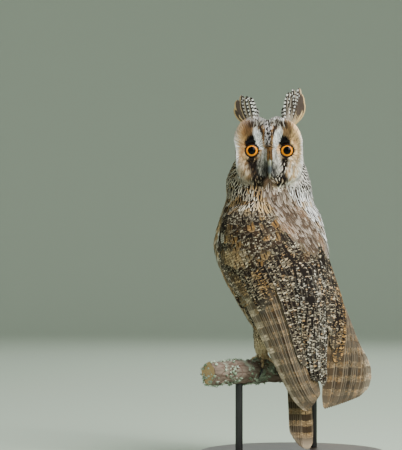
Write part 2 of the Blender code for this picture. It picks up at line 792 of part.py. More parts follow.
def make_perch(rng):
    """A short cut length of branch, level, with a knot or two."""
    rings = []
    for side in spaced(PERCH_LEFT, PERCH_RIGHT, 15):
        under_feet = math.exp(-(((abs(side) - LEG_SIDE) / 0.016) ** 2))
        level = []
        for j in range(14):
            angle = 2 * math.pi * j / 14
            rough = rng.uniform(-0.0007, 0.0006) * (1 - under_feet)
            knot = 0.0030 * math.exp(-(((side - 0.082) / 0.010) ** 2)) * max(math.cos(angle - 0.8), 0)
            radius = PERCH_RADIUS + rough + knot
            level.append(bird(side, radius * math.cos(angle), PERCH_HEIGHT + radius * math.sin(angle)))
        rings.append(level)
    return loft("perch", rings)


def make_stand(perch):
    """A flat round base and two rods that reach up to the perch."""
    x_axis, y_axis = Vector((1, 0, 0)), Vector((0, 1, 0))
    profile = (
        (0.0, BASE_RADIUS - 0.0008),
        (0.0008, BASE_RADIUS),
        (BASE_HEIGHT - BASE_EDGE, BASE_RADIUS),
        (BASE_HEIGHT - BASE_EDGE * 0.3, BASE_RADIUS - BASE_EDGE * 0.3),
        (BASE_HEIGHT, BASE_RADIUS - BASE_EDGE),
    )
    loft("stand_base", [ring((0, 0, z), x_axis, y_axis, r, r, 40) for z, r in profile])
    for side_name, side in (("left", -1), ("right", 1)):
        foot = bird(side * ROD_SIDE, 0, BASE_HEIGHT + GAP)
        head = bird(side * ROD_SIDE, 0, PERCH_HEIGHT)
        rings = [ring(p, x_axis, y_axis, ROD_RADIUS, ROD_RADIUS, 14) for p in (foot, head)]
        rod = loft(f"stand_rod_{side_name}", rings)
        combine(rod, [grown(perch)], "DIFFERENCE")


def paint():
    """Gives every piece a plain finish in its own colour."""
    for kind, (red, green, blue, rough) in COLOURS.items():
        finish = bpy.data.materials.new(kind)
        finish.use_nodes = True
        shader = finish.node_tree.nodes["Principled BSDF"]
        shader.inputs["Base Color"].default_value = (red, green, blue, 1)
        shader.inputs["Roughness"].default_value = rough
        for obj in bpy.data.objects:
            if obj.name.split("_")[0] == kind:
                obj.data.materials.clear()
                obj.data.materials.append(finish)


def build():
    """Makes every piece in the order that each is cut to fit the one it grows from."""
    clear_scene()
    rng = random.Random(SEED)
    eyes = [make_eye("eye_left", 1), make_eye("eye_right", -1)]
    head = make_head(eyes)
    make_neck(head)
    torso = make_torso()
    make_bill(head)
    make_tuft("ear_tuft_left", 1, TUFT_LEFT, head)
    make_tuft("ear_tuft_right", -1, TUFT_RIGHT, head)
    make_wing("wing_left", WING_LEFT, INNER_TIP_LEFT, torso, rng)
    make_wing("wing_right", WING_RIGHT, INNER_TIP_RIGHT, torso, rng)
    make_tail(torso)
    perch = make_perch(rng)
    for side_name, side in (("left", -1), ("right", 1)):
        leg = make_leg(f"leg_{side_name}", side, torso)
        make_foot(side_name, side, leg, perch)
    make_stand(perch)
    paint()


build()
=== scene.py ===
"""A long-eared owl on a lichened branch, seen from behind with its face turned back to the viewer.

The owl's skin is one closed form, and everything that grows on it is mesh: small body feathers in
overlapping rows, the bristles of the face, the ear tufts, and the long feathers of wings and tail.
"""

import math

import bmesh
import bpy
import numpy as np
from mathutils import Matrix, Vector
from mathutils.bvhtree import BVHTree


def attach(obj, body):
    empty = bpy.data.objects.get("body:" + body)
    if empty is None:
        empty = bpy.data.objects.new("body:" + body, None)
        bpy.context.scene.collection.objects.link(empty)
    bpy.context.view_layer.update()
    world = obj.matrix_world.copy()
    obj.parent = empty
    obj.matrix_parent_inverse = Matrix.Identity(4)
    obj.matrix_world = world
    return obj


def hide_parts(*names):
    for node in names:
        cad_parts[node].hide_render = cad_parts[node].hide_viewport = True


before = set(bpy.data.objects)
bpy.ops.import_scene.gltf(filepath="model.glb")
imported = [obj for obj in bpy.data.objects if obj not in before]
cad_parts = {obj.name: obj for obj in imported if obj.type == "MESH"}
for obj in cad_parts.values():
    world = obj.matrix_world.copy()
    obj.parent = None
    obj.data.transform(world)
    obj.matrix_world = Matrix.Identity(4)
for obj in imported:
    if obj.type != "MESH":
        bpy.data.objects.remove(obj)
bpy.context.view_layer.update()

# Camera. It stands level with the owl's back and far off, as through a long lens, and looks
# straight along +Y. The owl fills the height of an upright frame.
FRAME_HEIGHT, CAMERA_DISTANCE = 0.495, 2.5
camera_data = bpy.data.cameras.new("camera")
camera_data.sensor_fit = "AUTO"
camera_data.sensor_width = 36.0
camera_data.lens = 36.0 * CAMERA_DISTANCE / FRAME_HEIGHT
camera_data.clip_start = 0.05
camera = bpy.data.objects.new("camera", camera_data)
camera.location = (-0.10065, -CAMERA_DISTANCE, 0.2606)
camera.rotation_euler = (math.pi / 2, 0, 0)
bpy.context.scene.collection.objects.link(camera)
bpy.context.scene.camera = camera

# Floor and light. A pale floor turns up into a wall far off on every side, and large soft lamps
# stand in for an overcast sky, with a smaller one that the eyes catch.
STAGE_COLOUR, STAGE_RADIUS, STAGE_CURVE, STAGE_LEVEL = (0.45, 0.52, 0.42, 1), 4.6, 1.6, -0.0002
SKY_COLOUR, SKY_STRENGTH = (0.93, 0.97, 0.96, 1), 0.42


def finish_of(name, colour=(0.5, 0.5, 0.5, 1), rough=0.75, specular=0.12, coat=0.0, metal=0.0, sheen=0.0):
    """A finish with the values that are the same all over its piece."""
    finish = bpy.data.materials.new(name)
    finish.use_nodes = True
    for socket, value in (
        ("Base Color", colour), ("Roughness", rough), ("Specular IOR Level", specular),
        ("Coat Weight", coat), ("Coat Roughness", 0.03), ("Metallic", metal), ("Sheen Weight", sheen),
    ):
        finish.node_tree.nodes["Principled BSDF"].inputs[socket].default_value = value
    return finish


def shown(name, mesh, finish):
    """An object at the origin that shows a mesh, smooth and in its finish."""
    mesh.shade_smooth()
    mesh.materials.append(finish)
    piece = bpy.data.objects.new(name, mesh)
    bpy.context.scene.collection.objects.link(piece)
    return piece


def turned(name, profile, count, finish):
    """A form turned about the vertical axis from (radius, height) points, closed at a radius of nought."""
    form = bmesh.new()
    rings = []
    for radius, height in profile:
        steps = [2 * math.pi * k / count for k in range(count)] if radius else [0.0]
        rings.append([form.verts.new((radius * math.cos(a), radius * math.sin(a), height)) for a in steps])
    for low, high in zip(rings, rings[1:]):
        for k in range(count):
            beside = (k + 1) % count
            if len(low) == 1:
                form.faces.new((low[0], high[beside], high[k]))
            elif len(high) == 1:
                form.faces.new((low[k], low[beside], high[0]))
            else:
                form.faces.new((low[k], low[beside], high[beside], high[k]))
    mesh = bpy.data.meshes.new(name)
    form.to_mesh(mesh)
    form.free()
    return shown(name, mesh, finish)


flat = STAGE_RADIUS - STAGE_CURVE
profile = [(0, STAGE_LEVEL), (flat * 0.5, STAGE_LEVEL), (flat, STAGE_LEVEL)]
for step in range(1, 13):
    angle = step / 12 * math.pi / 2
    profile.append((flat + STAGE_CURVE * math.sin(angle), STAGE_CURVE * (1 - math.cos(angle)) + STAGE_LEVEL))
profile.append((STAGE_RADIUS, 4.0))
turned("floor", profile, 96, finish_of("stage_paint", STAGE_COLOUR, rough=0.9, specular=0.1))

sky = bpy.data.worlds.new("sky")
sky.use_nodes = True
sky.node_tree.nodes["Background"].inputs["Color"].default_value = SKY_COLOUR
sky.node_tree.nodes["Background"].inputs["Strength"].default_value = SKY_STRENGTH
bpy.context.scene.world = sky

# each lamp: name, place, side of its square, power, colour
for name, place, size, power, colour in (
    ("overcast", (1.0, -0.9, 2.1), 1.5, 80, (0.98, 0.99, 1.0)),
    ("front", (1.2, -1.8, 1.2), 1.2, 30, (1.0, 0.98, 0.95)),
    ("left_fill", (-1.7, -1.2, 0.7), 1.6, 5, (0.95, 0.98, 1.0)),
    ("behind", (0.4, 1.8, 1.4), 1.8, 16, (0.95, 0.98, 1.0)),
    ("catchlight", (0.72, -0.72, 0.96), 0.10, 3.2, (1.0, 1.0, 1.0)),
):
    lamp_data = bpy.data.lights.new(name, "AREA")
    lamp_data.size, lamp_data.energy, lamp_data.color = size, power, colour
    lamp = bpy.data.objects.new(name, lamp_data)
    lamp.location = place
    lamp.rotation_euler = (Vector((-0.02, 0, 0.24)) - Vector(place)).to_track_quat("-Z", "Y").to_euler()
    bpy.context.scene.collection.objects.link(lamp)

# Form of the skin. Head, neck, trunk, legs and toes are one closed body under the feathers, with the
# fleshy front of both folded wings and the thick feathering of the back bridged between them.
BODY_TURN = math.radians(36)
BODY_X, BODY_Y = -0.017, 0.013
HEAD_X, FACE_Y, HEAD_HEIGHT = -0.0259, -0.020, 0.342
EYE_SPACING = 0.0386
VOXEL = 0.0020
COAT_DEPTH, FACE_DEPTH = 0.0030, 0.0012
FLESH = ("head", "neck", "torso", "leg_left", "leg_right", "foot_left", "foot_right")
# wing rows from shoulder to tip: leading edge and inner edge as side, back and height, then swell
WING_LEFT = (
    (-0.056, -0.018, 0.274, -0.034, 0.020, 0.289, 0.005),
    (-0.063, -0.020, 0.250, -0.031, 0.034, 0.268, 0.012),
    (-0.061, -0.019, 0.214, -0.021, 0.048, 0.240, 0.016),
    (-0.056, 0.008, 0.172, -0.012, 0.059, 0.206, 0.016),
    (-0.048, 0.033, 0.130, -0.010, 0.067, 0.164, 0.012),
    (-0.036, 0.052, 0.092, -0.008, 0.074, 0.116, 0.008),
    (-0.020, 0.066, 0.055, 0.008, 0.078, 0.066, 0.002),
)
WING_RIGHT = (
    (0.053, -0.020, 0.274, 0.030, 0.018, 0.289, 0.004),
    (0.058, -0.022, 0.250, 0.026, 0.030, 0.268, 0.009),
    (0.058, -0.016, 0.214, 0.019, 0.046, 0.240, 0.012),
    (0.061, 0.012, 0.176, 0.011, 0.060, 0.206, 0.014),
    (0.067, 0.045, 0.138, 0.007, 0.076, 0.166, 0.013),
    (0.078, 0.075, 0.102, 0.001, 0.073, 0.116, 0.008),
    (0.072, 0.082, 0.080, -0.001, 0.070, 0.052, 0.003),
)


def mesh_piece(name, points, faces, finish):
    """An object with these points and faces, all faces with the same number of corners."""
    points, faces = np.asarray(points, np.float32), np.asarray(faces, np.int32)
    mesh = bpy.data.meshes.new(name)
    mesh.vertices.add(len(points))
    mesh.vertices.foreach_set("co", points.ravel())
    mesh.loops.add(faces.size)
    mesh.loops.foreach_set("vertex_index", faces.ravel())
    mesh.polygons.add(len(faces))
    mesh.polygons.foreach_set("loop_start", np.arange(0, faces.size, faces.shape[1], dtype=np.int32))
    mesh.update(calc_edges=True)
    return shown(name, mesh, finish)


def bird(side, back, up):
    """Places by how far they lie to the owl's right, behind its feet and above the floor."""
    side, back, up = np.broadcast_arrays(side, back, up)
    cos, sin = math.cos(BODY_TURN), math.sin(BODY_TURN)
    return np.stack([BODY_X + side * cos + back * sin, BODY_Y + side * sin - back * cos, up], -1)


def placed(spots):
    """The same for spots whose side, back and height are in one array."""
    return bird(*np.moveaxis(spots, -1, 0))


def heading(side, back, up):
    """Directions that are given along the owl's own axes."""
    return bird(side, back, up) - bird(0.0, 0.0, 0.0)


def owl_frame(points):
    """How far places lie to the owl's right, behind its feet and above the floor."""
    x, y = points[..., 0] - BODY_X, points[..., 1] - BODY_Y
    cos, sin = math.cos(BODY_TURN), math.sin(BODY_TURN)
    return x * cos + y * sin, x * sin - y * cos, points[..., 2]


def unit(vectors):
    """The same directions with length 1."""
    return vectors / np.maximum(np.linalg.norm(vectors, axis=-1, keepdims=True), 1e-9)


def dot(a, b):
    """The product of directions, kept as a last axis of one."""
    return np.sum(a * b, -1, keepdims=True)


def ease(value, low, high):
    """0 below low, 1 above high, and a smooth step between."""
    u = np.clip((value - low) / (high - low), 0, 1)
    return u * u * (3 - 2 * u)


def rows_at(rows, t):
    """A smooth curve through the rows of a table, read at many places from 0 to 1."""
    table = np.asarray(rows, float)
    last = len(table) - 1
    place = np.clip(t, 0, 1) * last
    k = np.minimum(place.astype(int), last - 1)
    u = (place - k)[..., None]
    before, after = table[np.maximum(k - 1, 0)], table[np.minimum(k + 2, last)]
    a, b = table[k], table[k + 1]
    slope_a = (b - before) / np.where(k > 0, 2, 1)[..., None]
    slope_b = (after - a) / np.where(k + 2 <= last, 2, 1)[..., None]
    return (
        (2 * u**3 - 3 * u**2 + 1) * a
        + (u**3 - 2 * u**2 + u) * slope_a
        + (3 * u**2 - 2 * u**3) * b
        + (u**3 - u**2) * slope_b
    )


def wing_surface(rows, along, across):
    """Places and outward normals on a wing, from shoulder to tip and from leading to inner edge."""
    along, across = np.broadcast_arrays(np.asarray(along, float), np.asarray(across, float))

    def flat_at(u, v):
        row = rows_at(rows, u)
        return row[..., 0:3] + (row[..., 3:6] - row[..., 0:3]) * v[..., None], row[..., 6]

    def swollen(u, v):
        place, swell = flat_at(u, v)
        down = flat_at(np.minimum(u + 0.02, 1), v)[0] - flat_at(np.maximum(u - 0.02, 0), v)[0]
        over = flat_at(u, v + 0.02)[0] - flat_at(u, v - 0.02)[0]
        normal = unit(np.cross(down, over))
        inward = normal[..., 0] * place[..., 0] + normal[..., 1] * (place[..., 1] + 0.03) < 0
        normal = np.where(inward[..., None], -normal, normal)
        return place + normal * (swell * 4 * v * (1 - v))[..., None], normal

    place, outward = swollen(along, across)
    down = swollen(np.minimum(along + 0.01, 1), across)[0] - swollen(np.maximum(along - 0.01, 0), across)[0]
    over = swollen(along, across + 0.01)[0] - swollen(along, across - 0.01)[0]
    normal = unit(np.cross(down, over))
    normal = np.where(dot(normal, outward) < 0, -normal, normal)
    return placed(place), heading(*np.moveaxis(normal, -1, 0))


def closed_loft(rings):
    """Points and triangles of a closed form through rings of points, the ends closed by fans."""
    rings = np.asarray(rings, float)
    levels, count = rings.shape[:2]
    points = np.concatenate([rings.reshape(-1, 3), [rings[0].mean(0), rings[-1].mean(0)]])
    faces = []
    for k in range(levels - 1):
        for j in range(count):
            a, b = k * count + j, k * count + (j + 1) % count
            faces += [(a, b, b + count), (a, b + count, a + count)]
    for start, hub in ((0, levels * count), ((levels - 1) * count, levels * count + 1)):
        faces += [(start + j, start + (j + 1) % count, hub) for j in range(count)]
    return points, np.asarray(faces)


def wing_form(rows):
    """The front of a folded wing as a closed form, thick at the shoulder and thin where it ends."""
    rings = []
    across = np.linspace(0.01, 0.99, 12)
    edge = np.sqrt(np.maximum(1 - np.abs(2 * across - 1) ** 3.5, 0))
    for along in np.linspace(0.0, 0.52, 18):
        thick = 1 - ease(along, 0.30, 0.52)
        over = (0.0072 * ease(along, -0.06, 0.10) * thick + 0.0004) * edge
        under = (0.0150 * thick + 0.0016) * edge
        place, normal = wing_surface(rows, np.full(12, along), across)
        rings.append(np.concatenate([place + normal * over[:, None], (place - normal * under[:, None])[::-1]]))
    return closed_loft(rings)


def back_form():
    """The feathered back between the wings' inner edges, down to the rump."""
    rings = []
    t = np.linspace(-0.12, 1.12, 12)
    for along in np.linspace(0.02, 0.72, 20):
        left, right = (rows_at(rows, np.array([along]))[0, 3:6] for rows in (WING_LEFT, WING_RIGHT))
        place = left + (right - left) * t[:, None]
        crown = 0.0045 * 4 * t * (1 - t) * (1 - ease(along, 0.45, 0.72))
        outer, inner = place.copy(), place.copy()
        outer[:, 1] += crown + 0.0035 * (1 - ease(along, 0.35, 0.72))
        inner[:, 1] -= 0.022 * (1 - ease(along, 0.4, 0.72)) + 0.003
        rings.append(bird(*np.concatenate([outer, inner[::-1]]).T))
    return closed_loft(rings)


forms = []
for node in FLESH:
    copy = bmesh.new()
    copy.from_mesh(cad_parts[node].data)
    bmesh.ops.remove_doubles(copy, verts=copy.verts, dist=1e-6)
    bmesh.ops.triangulate(copy, faces=copy.faces)
    places = np.array([v.co for v in copy.verts])
    if node in ("neck", "torso"):
        places += 0.0004 * np.array([v.normal for v in copy.verts])
    forms.append((places, np.array([[v.index for v in f.verts] for f in copy.faces])))
    copy.free()
forms += [wing_form(WING_LEFT), wing_form(WING_RIGHT), back_form()]
starts = np.cumsum([0] + [len(points) for points, faces in forms[:-1]])
core = mesh_piece(
    "core",
    np.concatenate([points for points, faces in forms]),
    np.concatenate([faces + start for start, (points, faces) in zip(starts, forms)]),
    finish_of("core"),
)
remesh = core.modifiers.new("remesh", "REMESH")
remesh.mode = "VOXEL"
remesh.voxel_size = VOXEL
soften = core.modifiers.new("soften", "SMOOTH")
soften.factor = 0.6
soften.iterations = 7
whole = bpy.data.meshes.new_from_object(core.evaluated_get(bpy.context.evaluated_depsgraph_get()))
bpy.data.objects.remove(core)

# only the largest joined form is kept
skin_mesh = bmesh.new()
skin_mesh.from_mesh(whole)
bpy.data.meshes.remove(whole)
bmesh.ops.triangulate(skin_mesh, faces=skin_mesh.faces)
pending = set(skin_mesh.verts)
islands = []
while pending:
    island, border = set(), [pending.pop()]
    while border:
        vert = border.pop()
        island.add(vert)
        for other in [edge.other_vert(vert) for edge in vert.link_edges]:
            if other in pending:
                pending.discard(other)
                border.append(other)
    islands.append(island)
main_island = max(islands, key=len)
spare = [vert for island in islands if island is not main_island for vert in island]
bmesh.ops.delete(skin_mesh, geom=spare, context="VERTS")
skin_mesh.verts.index_update()
skin_mesh.normal_update()
skin_points = np.array([v.co for v in skin_mesh.verts])
skin_normals = np.array([v.normal for v in skin_mesh.verts])
skin_faces = np.array([[v.index for v in f.verts] for f in skin_mesh.faces])
skin_mesh.free()

# under the face the coat is thin, and over the eyes the skin sinks behind the eyeballs
behind_face = skin_points[:, 1] - FACE_Y
in_face = ease(-skin_normals[:, 1], 0.25, 0.6) * ease(skin_points[:, 2], 0.302, 0.312)
in_face *= 1 - ease(behind_face, 0.016, 0.026)
depth = COAT_DEPTH + (FACE_DEPTH - COAT_DEPTH) * in_face
depth *= 1 - 0.55 * (1 - ease(skin_points[:, 2], 0.118, 0.150))
skin_points = skin_points - skin_normals * depth[:, None]
for sign in (-1, 1):
    from_eye = np.hypot(skin_points[:, 0] - HEAD_X - sign * EYE_SPACING / 2, skin_points[:, 2] - HEAD_HEIGHT)
    sunk = (1 - ease(from_eye, 0.0072, 0.0086)) * (skin_points[:, 1] < 0.010)
    skin_points[:, 1] += np.maximum(FACE_Y + 0.0078 - skin_points[:, 1], 0) * sunk
# a shallow notch runs back over the crown between the ear tufts
notch = np.exp(-(((skin_points[:, 0] - HEAD_X + 0.0018) / 0.0048) ** 2))
notch *= ease(skin_points[:, 2] - HEAD_HEIGHT, 0.024, 0.034) * (1 - ease(behind_face, 0.02, 0.04))
skin_points[:, 2] -= 0.0026 * notch
skin_tree = BVHTree.FromPolygons(skin_points.tolist(), skin_faces.tolist())
face_normals = unit(skin_normals[skin_faces].sum(1))

# Coat of back and breast. Small soft feathers lie over the skin like tiles, each a thin closed vane,
# and their colours follow the regions of the plumage. The roots sit in the skin.


def shade(red, green, blue):
    """A colour given as it looks on a screen, 0 to 255, as the light values that Blender uses."""
    value = np.array([red, green, blue]) / 255
    return np.where(value < 0.04045, value / 12.92, ((value + 0.055) / 1.055) ** 2.4)


def wander(points, scale, seed):
    """A soft random number from 0 to 1 that drifts over the body, from a few crossed waves."""
    rng = np.random.default_rng(seed)
    total = 0
    for _ in range(7):
        way = unit(rng.normal(size=3)) * rng.uniform(0.6, 1.7) * 2 * math.pi / scale
        total = total + np.sin(points @ way + rng.uniform(0, 6.28))
    return np.clip(0.5 + total / 6.0, 0, 1)


def patch(points, x, z, wide, high, lean=0.0, soft=0.35):
    """How far places are inside a leaning oval of the owl's near side, given in millimetres."""
    across, up = points[:, 0] * 1000 - x, points[:, 2] * 1000 - z
    reach = np.hypot((across - lean * up) / wide, up / high)
    return (1 - ease(reach, 1 - soft, 1 + soft)) * ease(-points[:, 1], -0.055, -0.020)


def blend_in(values, other, share):
    """Values turned to another value by a share of 0 to 1 at each place."""
    share = np.clip(share, 0, 1)
    if np.ndim(values) > 1:
        share = share[:, None]
    return values * (1 - share) + np.asarray(other) * share


def between(first, second, share):
    """A colour at each place by its share of the way from one screen colour to another."""
    return blend_in(np.tile(shade(*first), (len(share), 1)), shade(*second), share)


def painted(ground, *coats):
    """A ground with coats of colour laid over it in turn, each with its share at every place."""
    for colour, share in coats:
        ground = blend_in(ground, shade(*colour) if isinstance(colour, tuple) else colour, share)
    return ground


def mantle_shares(points):
    """The soft band from under the chin to the far shoulder, and the whitish streaked side beyond it."""
    x, z = points[:, 0] * 1000, points[:, 2] * 1000
    heights = (233, 241, 254, 269, 285, 306)
    left = np.interp(z, heights, (27, 10, -9, -22, -27, -35))
    right = np.interp(z, heights, (40, 37, 31, 20, 9, -4))
    near_side = ease(-points[:, 1], -0.055, -0.020)
    beyond = ease(x - right, -3, 3) * near_side
    band = ease(x - left, -3, 3) * near_side * (1 - beyond) * ease(z, 230, 236)
    return band, beyond * ease(z, 216, 246)


def plumage(points, normals):
    """Colours and pattern of the body's feathers: ground, mark, streak with bars and waves, and pale tip."""
    _, back, up = owl_frame(points)
    picked = np.random.default_rng(4).uniform(0, 1, (4, len(points)))
    drift, fine = wander(points, 0.045, 3), wander(points, 0.016, 5)
    # back and wings: near black, broken by whitish and cream wavy flecks, some feathers ochre
    ochre = np.clip(ease(picked[1], 0.84, 0.90) + ease(drift, 0.72, 0.9) * 0.5, 0, 1)
    looks = {
        "ground": painted(
            between((150, 136, 104), (212, 202, 176), picked[0]),
            (between((176, 128, 66), (206, 170, 112), picked[2]), ochre),
        ),
        "mark": between((24, 18, 14), (52, 38, 26), picked[3]),
        "streak": 0.30 + 0.16 * fine,
        "bars": np.full(len(points), 0.65),
        "waves": 1.0 - 0.30 * ochre,
        "tip": 0.05 + 0.25 * picked[0],
    }

    def region(share, **changes):
        for look, value in changes.items():
            looks[look] = blend_in(looks[look], value, share)

    # breast and belly: buff with bold dark streaks that carry crossbars lower down
    heights = (0.100, 0.130, 0.172, 0.214, 0.250, 0.290)
    edge = np.interp(up, heights, (0.040, 0.033, 0.010, -0.016, -0.020, -0.018))
    front = ease(edge - 0.012 - back, -0.002, 0.006)
    belly = ease(-up, -0.230, -0.150) * front
    buff = painted(between((206, 158, 96), (226, 196, 146), picked[0]), ((222, 208, 178), 0.6 * belly))
    region(front, ground=buff, mark=shade(44, 30, 20), streak=0.44 - 0.16 * belly, bars=0.75 * belly,
           waves=0.0, tip=0.5)
    # under the tail and down the legs the feathers are plain buff white
    low = (1 - ease(up, 0.128, 0.150)) * ease(-back, -0.030, -0.012)
    region(low, ground=shade(214, 190, 150), streak=0.0, bars=0.0, waves=0.0)
    # neck: buff and whitish with long black streaks
    neck = ease(up, 0.276, 0.288) * (1 - 0.5 * front)
    fair = between((186, 152, 104), (226, 214, 190), ease(picked[0], 0.40, 0.6))
    region(neck, ground=fair, mark=shade(28, 21, 15), streak=0.50 + 0.75 * picked[1],
           waves=0.45 * ease(fine, 0.4, 0.7), bars=0.0)
    # mantle: a soft brown grey band with pale streaks, from under the chin down to the far side
    mantle, pale = mantle_shares(points)
    soft = painted(
        between((80, 65, 51), (188, 173, 157), ease(picked[0], 0.32, 1.0)),
        ((172, 138, 108), ease(drift, 0.5, 0.9) * 0.5),
    )
    region(mantle, ground=soft, mark=shade(76, 60, 48), streak=0.15 + 0.4 * picked[2], waves=0.1, tip=0.3)
    region(np.maximum(mantle, pale), bars=0.0)
    # beyond it the side of the neck and shoulder is whitish with brown streaks
    seen = ease(-normals[:, 1], -0.40, 0.05)
    pale = pale * ease(up + 0.020 * picked[3], 0.232, 0.256)
    pale = np.maximum(pale, 0.85 * patch(points, 50, 204, 7, 42, -0.32, 0.4))
    pale = pale * (0.15 + 0.85 * ease(seen + 0.4 * picked[0] - 0.2, 0.1, 0.8))
    whitish = between((252, 251, 248), (196, 174, 146), ease(picked[1], 0.6, 0.95))
    region(pale, ground=whitish, mark=shade(44, 31, 22), streak=0.20 + 0.8 * picked[2], waves=0.15)
    # the bend of the folded wing stands out on the left, cream with fine marks
    wrist = patch(points, -86, 242, 7, 22, 0.0, 0.3) * ease(-normals[:, 1], -0.15, 0.15)
    cream = between((226, 214, 190), (190, 160, 116), picked[2])
    region(wrist, ground=cream, streak=0.25 * picked[0], waves=0.15)
    # an ochre line runs down the near shoulder from a buff top
    line = patch(points, -33, 250, 4.4, 25, -0.08, 0.5) * ease(fine, 0.4, 0.7) * seen
    region(line, ground=between((160, 116, 60), (196, 160, 106), picked[2]), waves=0.80, streak=0.30)
    top = patch(points, -34, 287, 6.5, 6, 0, 0.4) * seen
    region(top, ground=between((176, 142, 94), (206, 178, 130), picked[1]))
    # beside the wing's bend: painted shade of a crease, its feathers coloured near black, with a white fleck
    # in it, and a plain buff patch
    facing = ease(-normals[:, 1], 0.0, 0.3)
    region(patch(points, -79.5, 243, 2.2, 22, 0.05, 0.4) * facing, ground=shade(34, 26, 18))
    fleck = patch(points, -78.0, 261.0, 2.4, 7.0, 0, 0.4) * ease(facing, 0.5, 1.0)
    region(fleck, ground=shade(236, 230, 214))
    bend = patch(points, -68, 238, 12, 9, 0.0, 0.5) * facing
    region(bend, ground=between((190, 150, 98), (216, 190, 148), picked[0]))
    region(np.maximum(np.maximum(top * 0.4, fleck), bend * 0.65), waves=0.0, streak=0.08)
    pattern = np.stack([looks["streak"], looks["bars"], looks["waves"]], 1)
    return looks["ground"], looks["mark"], pattern, looks["tip"]


class Wire:
    """The output of a node, which the usual signs join with numbers and others by Math nodes."""

    def __init__(self, tree, socket):
        self.tree, self.socket = tree, socket

    def __add__(self, other):
        return calc("ADD", self, other)

    def __sub__(self, other):
        return calc("SUBTRACT", self, other)

    def __rsub__(self, other):
        return calc("SUBTRACT", other, self)

    def __mul__(self, other):
        return calc("MULTIPLY", self, other)

    def __truediv__(self, other):
        return calc("DIVIDE", self, other)

    def __abs__(self):
        return calc("ABSOLUTE", self)

    def beside(self, out):
        """Another output of the same node."""
        return Wire(self.tree, self.socket.node.outputs[out])


def knot(kind, inputs=None, out=0, tree=None, **settings):
    """A node fed with numbers and wires by the places of its inputs. It hands on one output."""
    inputs = inputs or {}
    tree = tree or next(value.tree for value in inputs.values() if isinstance(value, Wire))
    node = tree.nodes.new(kind)
    for key, value in settings.items():
        setattr(node, key, value)
    for place, value in inputs.items():
        if isinstance(value, Wire):
            tree.links.new(value.socket, node.inputs[place])
        else:
            node.inputs[place].default_value = value
    return Wire(tree, node.outputs[out])


def calc(operation, *values, clamp=False):
    """The result of a Math node."""
    return knot("ShaderNodeMath", dict(enumerate(values)), operation=operation, use_clamp=clamp)


def step_between(value, low, high):
    """0 below low, 1 above high, with a smooth step between."""
    return knot("ShaderNodeMapRange", {0: value, 1: low, 2: high}, interpolation_type="SMOOTHSTEP")


def mixed(share, first, second):
    """Two colours mixed. One given by three numbers is a screen colour."""
    first, second = ((*shade(*c), 1) if isinstance(c, tuple) and len(c) == 3 else c for c in (first, second))
    return knot("ShaderNodeMix", {0: share, 6: first, 7: second}, 2, data_type="RGBA")


def noise(place, scale, detail=2.0, **more):
    """A soft random number from 0 to 1."""
    return knot("ShaderNodeTexNoise", {"Vector": place, "Scale": scale, "Detail": detail, **more})


def joined(x, y, z=0.0):
    return knot("ShaderNodeCombineXYZ", {0: x, 1: y, 2: z})


def parts(vector):
    """The three numbers of a vector."""
    x = knot("ShaderNodeSeparateXYZ", {0: vector})
    return x, x.beside(1), x.beside(2)


def stored(tree, label, out="Vector"):
    """What each vane's points carry under a label."""
    return knot("ShaderNodeAttribute", out=out, tree=tree, attribute_name=label)


def lit(colour, light):
    """A colour made lighter or darker."""
    return knot("ShaderNodeVectorMath", {0: colour, "Scale": light}, operation="SCALE")


def covered(finish, colour, relief=None, strength=0.0, depth=0.0):
    """Give a finish its colour and, where there is one, its relief."""
    shader, links = finish.node_tree.nodes["Principled BSDF"], finish.node_tree.links
    links.new(colour.socket, shader.inputs["Base Color"])
    if relief:
        bump = knot("ShaderNodeBump", {"Strength": strength, "Distance": depth, "Height": relief})
        links.new(bump.socket, shader.inputs["Normal"])
    return finish


def feather_finish(name, barb_depth=0.35):
    """Feather vanes: their ground and mark colours, and shaft streak, bars and waves along the vane."""
    finish = finish_of(name, rough=0.72)
    tree = finish.node_tree
    across, along, seed = parts(stored(tree, "vane"))
    barb = stored(tree, "barb")
    barb_x, barb_y, barb_z = parts(barb)
    streak, bars, waves = parts(stored(tree, "pattern"))
    tip, edge, pitch = parts(stored(tree, "edging"))
    ground, mark = stored(tree, "ground", "Color"), stored(tree, "mark", "Color")
    aside = abs(across)
    wobble = noise(barb, 0.8, 1.0) - 0.5
    # the streak follows the shaft and narrows to its tip
    inside = streak * (1.15 - along * 0.7) - (aside + wobble * 0.25)
    dark = step_between(inside, -0.05, 0.06) * step_between(streak, 0.0, 0.05)
    # bars cross the vane in shallow arcs
    turn = (barb_y + aside * 1.1 + wobble * 3.0) / pitch
    barred = step_between(calc("SINE", turn * (2 * math.pi)), -0.35, 0.0) * bars
    # wavy lines, finer than the bars and broken, and rusty blotches between them
    wave = noise(joined(barb_x, barb_y * 2.3, barb_z), 0.27, 1.5) + noise(barb, 0.11, 0.0) * 0.32 - 0.16
    wavy = step_between(wave, 0.41, 0.47) * waves
    dark = calc("MAXIMUM", calc("MAXIMUM", dark, barred), wavy, clamp=True)
    rusty = step_between(noise(barb, 0.17, 1.0), 0.58, 0.64) * waves * 0.7
    ground = mixed(rusty, ground, (184, 136, 76))
    colour = mixed(dark, ground, mark)
    # tip and edges fade pale, and each feather is a little lighter or darker than the next
    faded = step_between(along, 0.85, 0.98) * tip
    margin = step_between(aside, 0.72, 0.95) * edge
    pale = mixed(0.55, ground, (0.62, 0.55, 0.44, 1))
    colour = mixed(calc("MAXIMUM", faded, margin, clamp=True), colour, pale)
    # barbs run out and forward from the shaft
    ribs = calc("SINE", (barb_y - abs(barb_x) * 1.3) * 16.0)
    return covered(finish, lit(colour, seed * 0.36 + 0.82), ribs, barb_depth, 0.00008)


def fixed(piece, slot, *nodes):
    """Fix a piece to the owl's one body, in place of the solids it covers. The slot is not used."""
    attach(piece, "root")
    if nodes:
        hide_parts(*nodes)


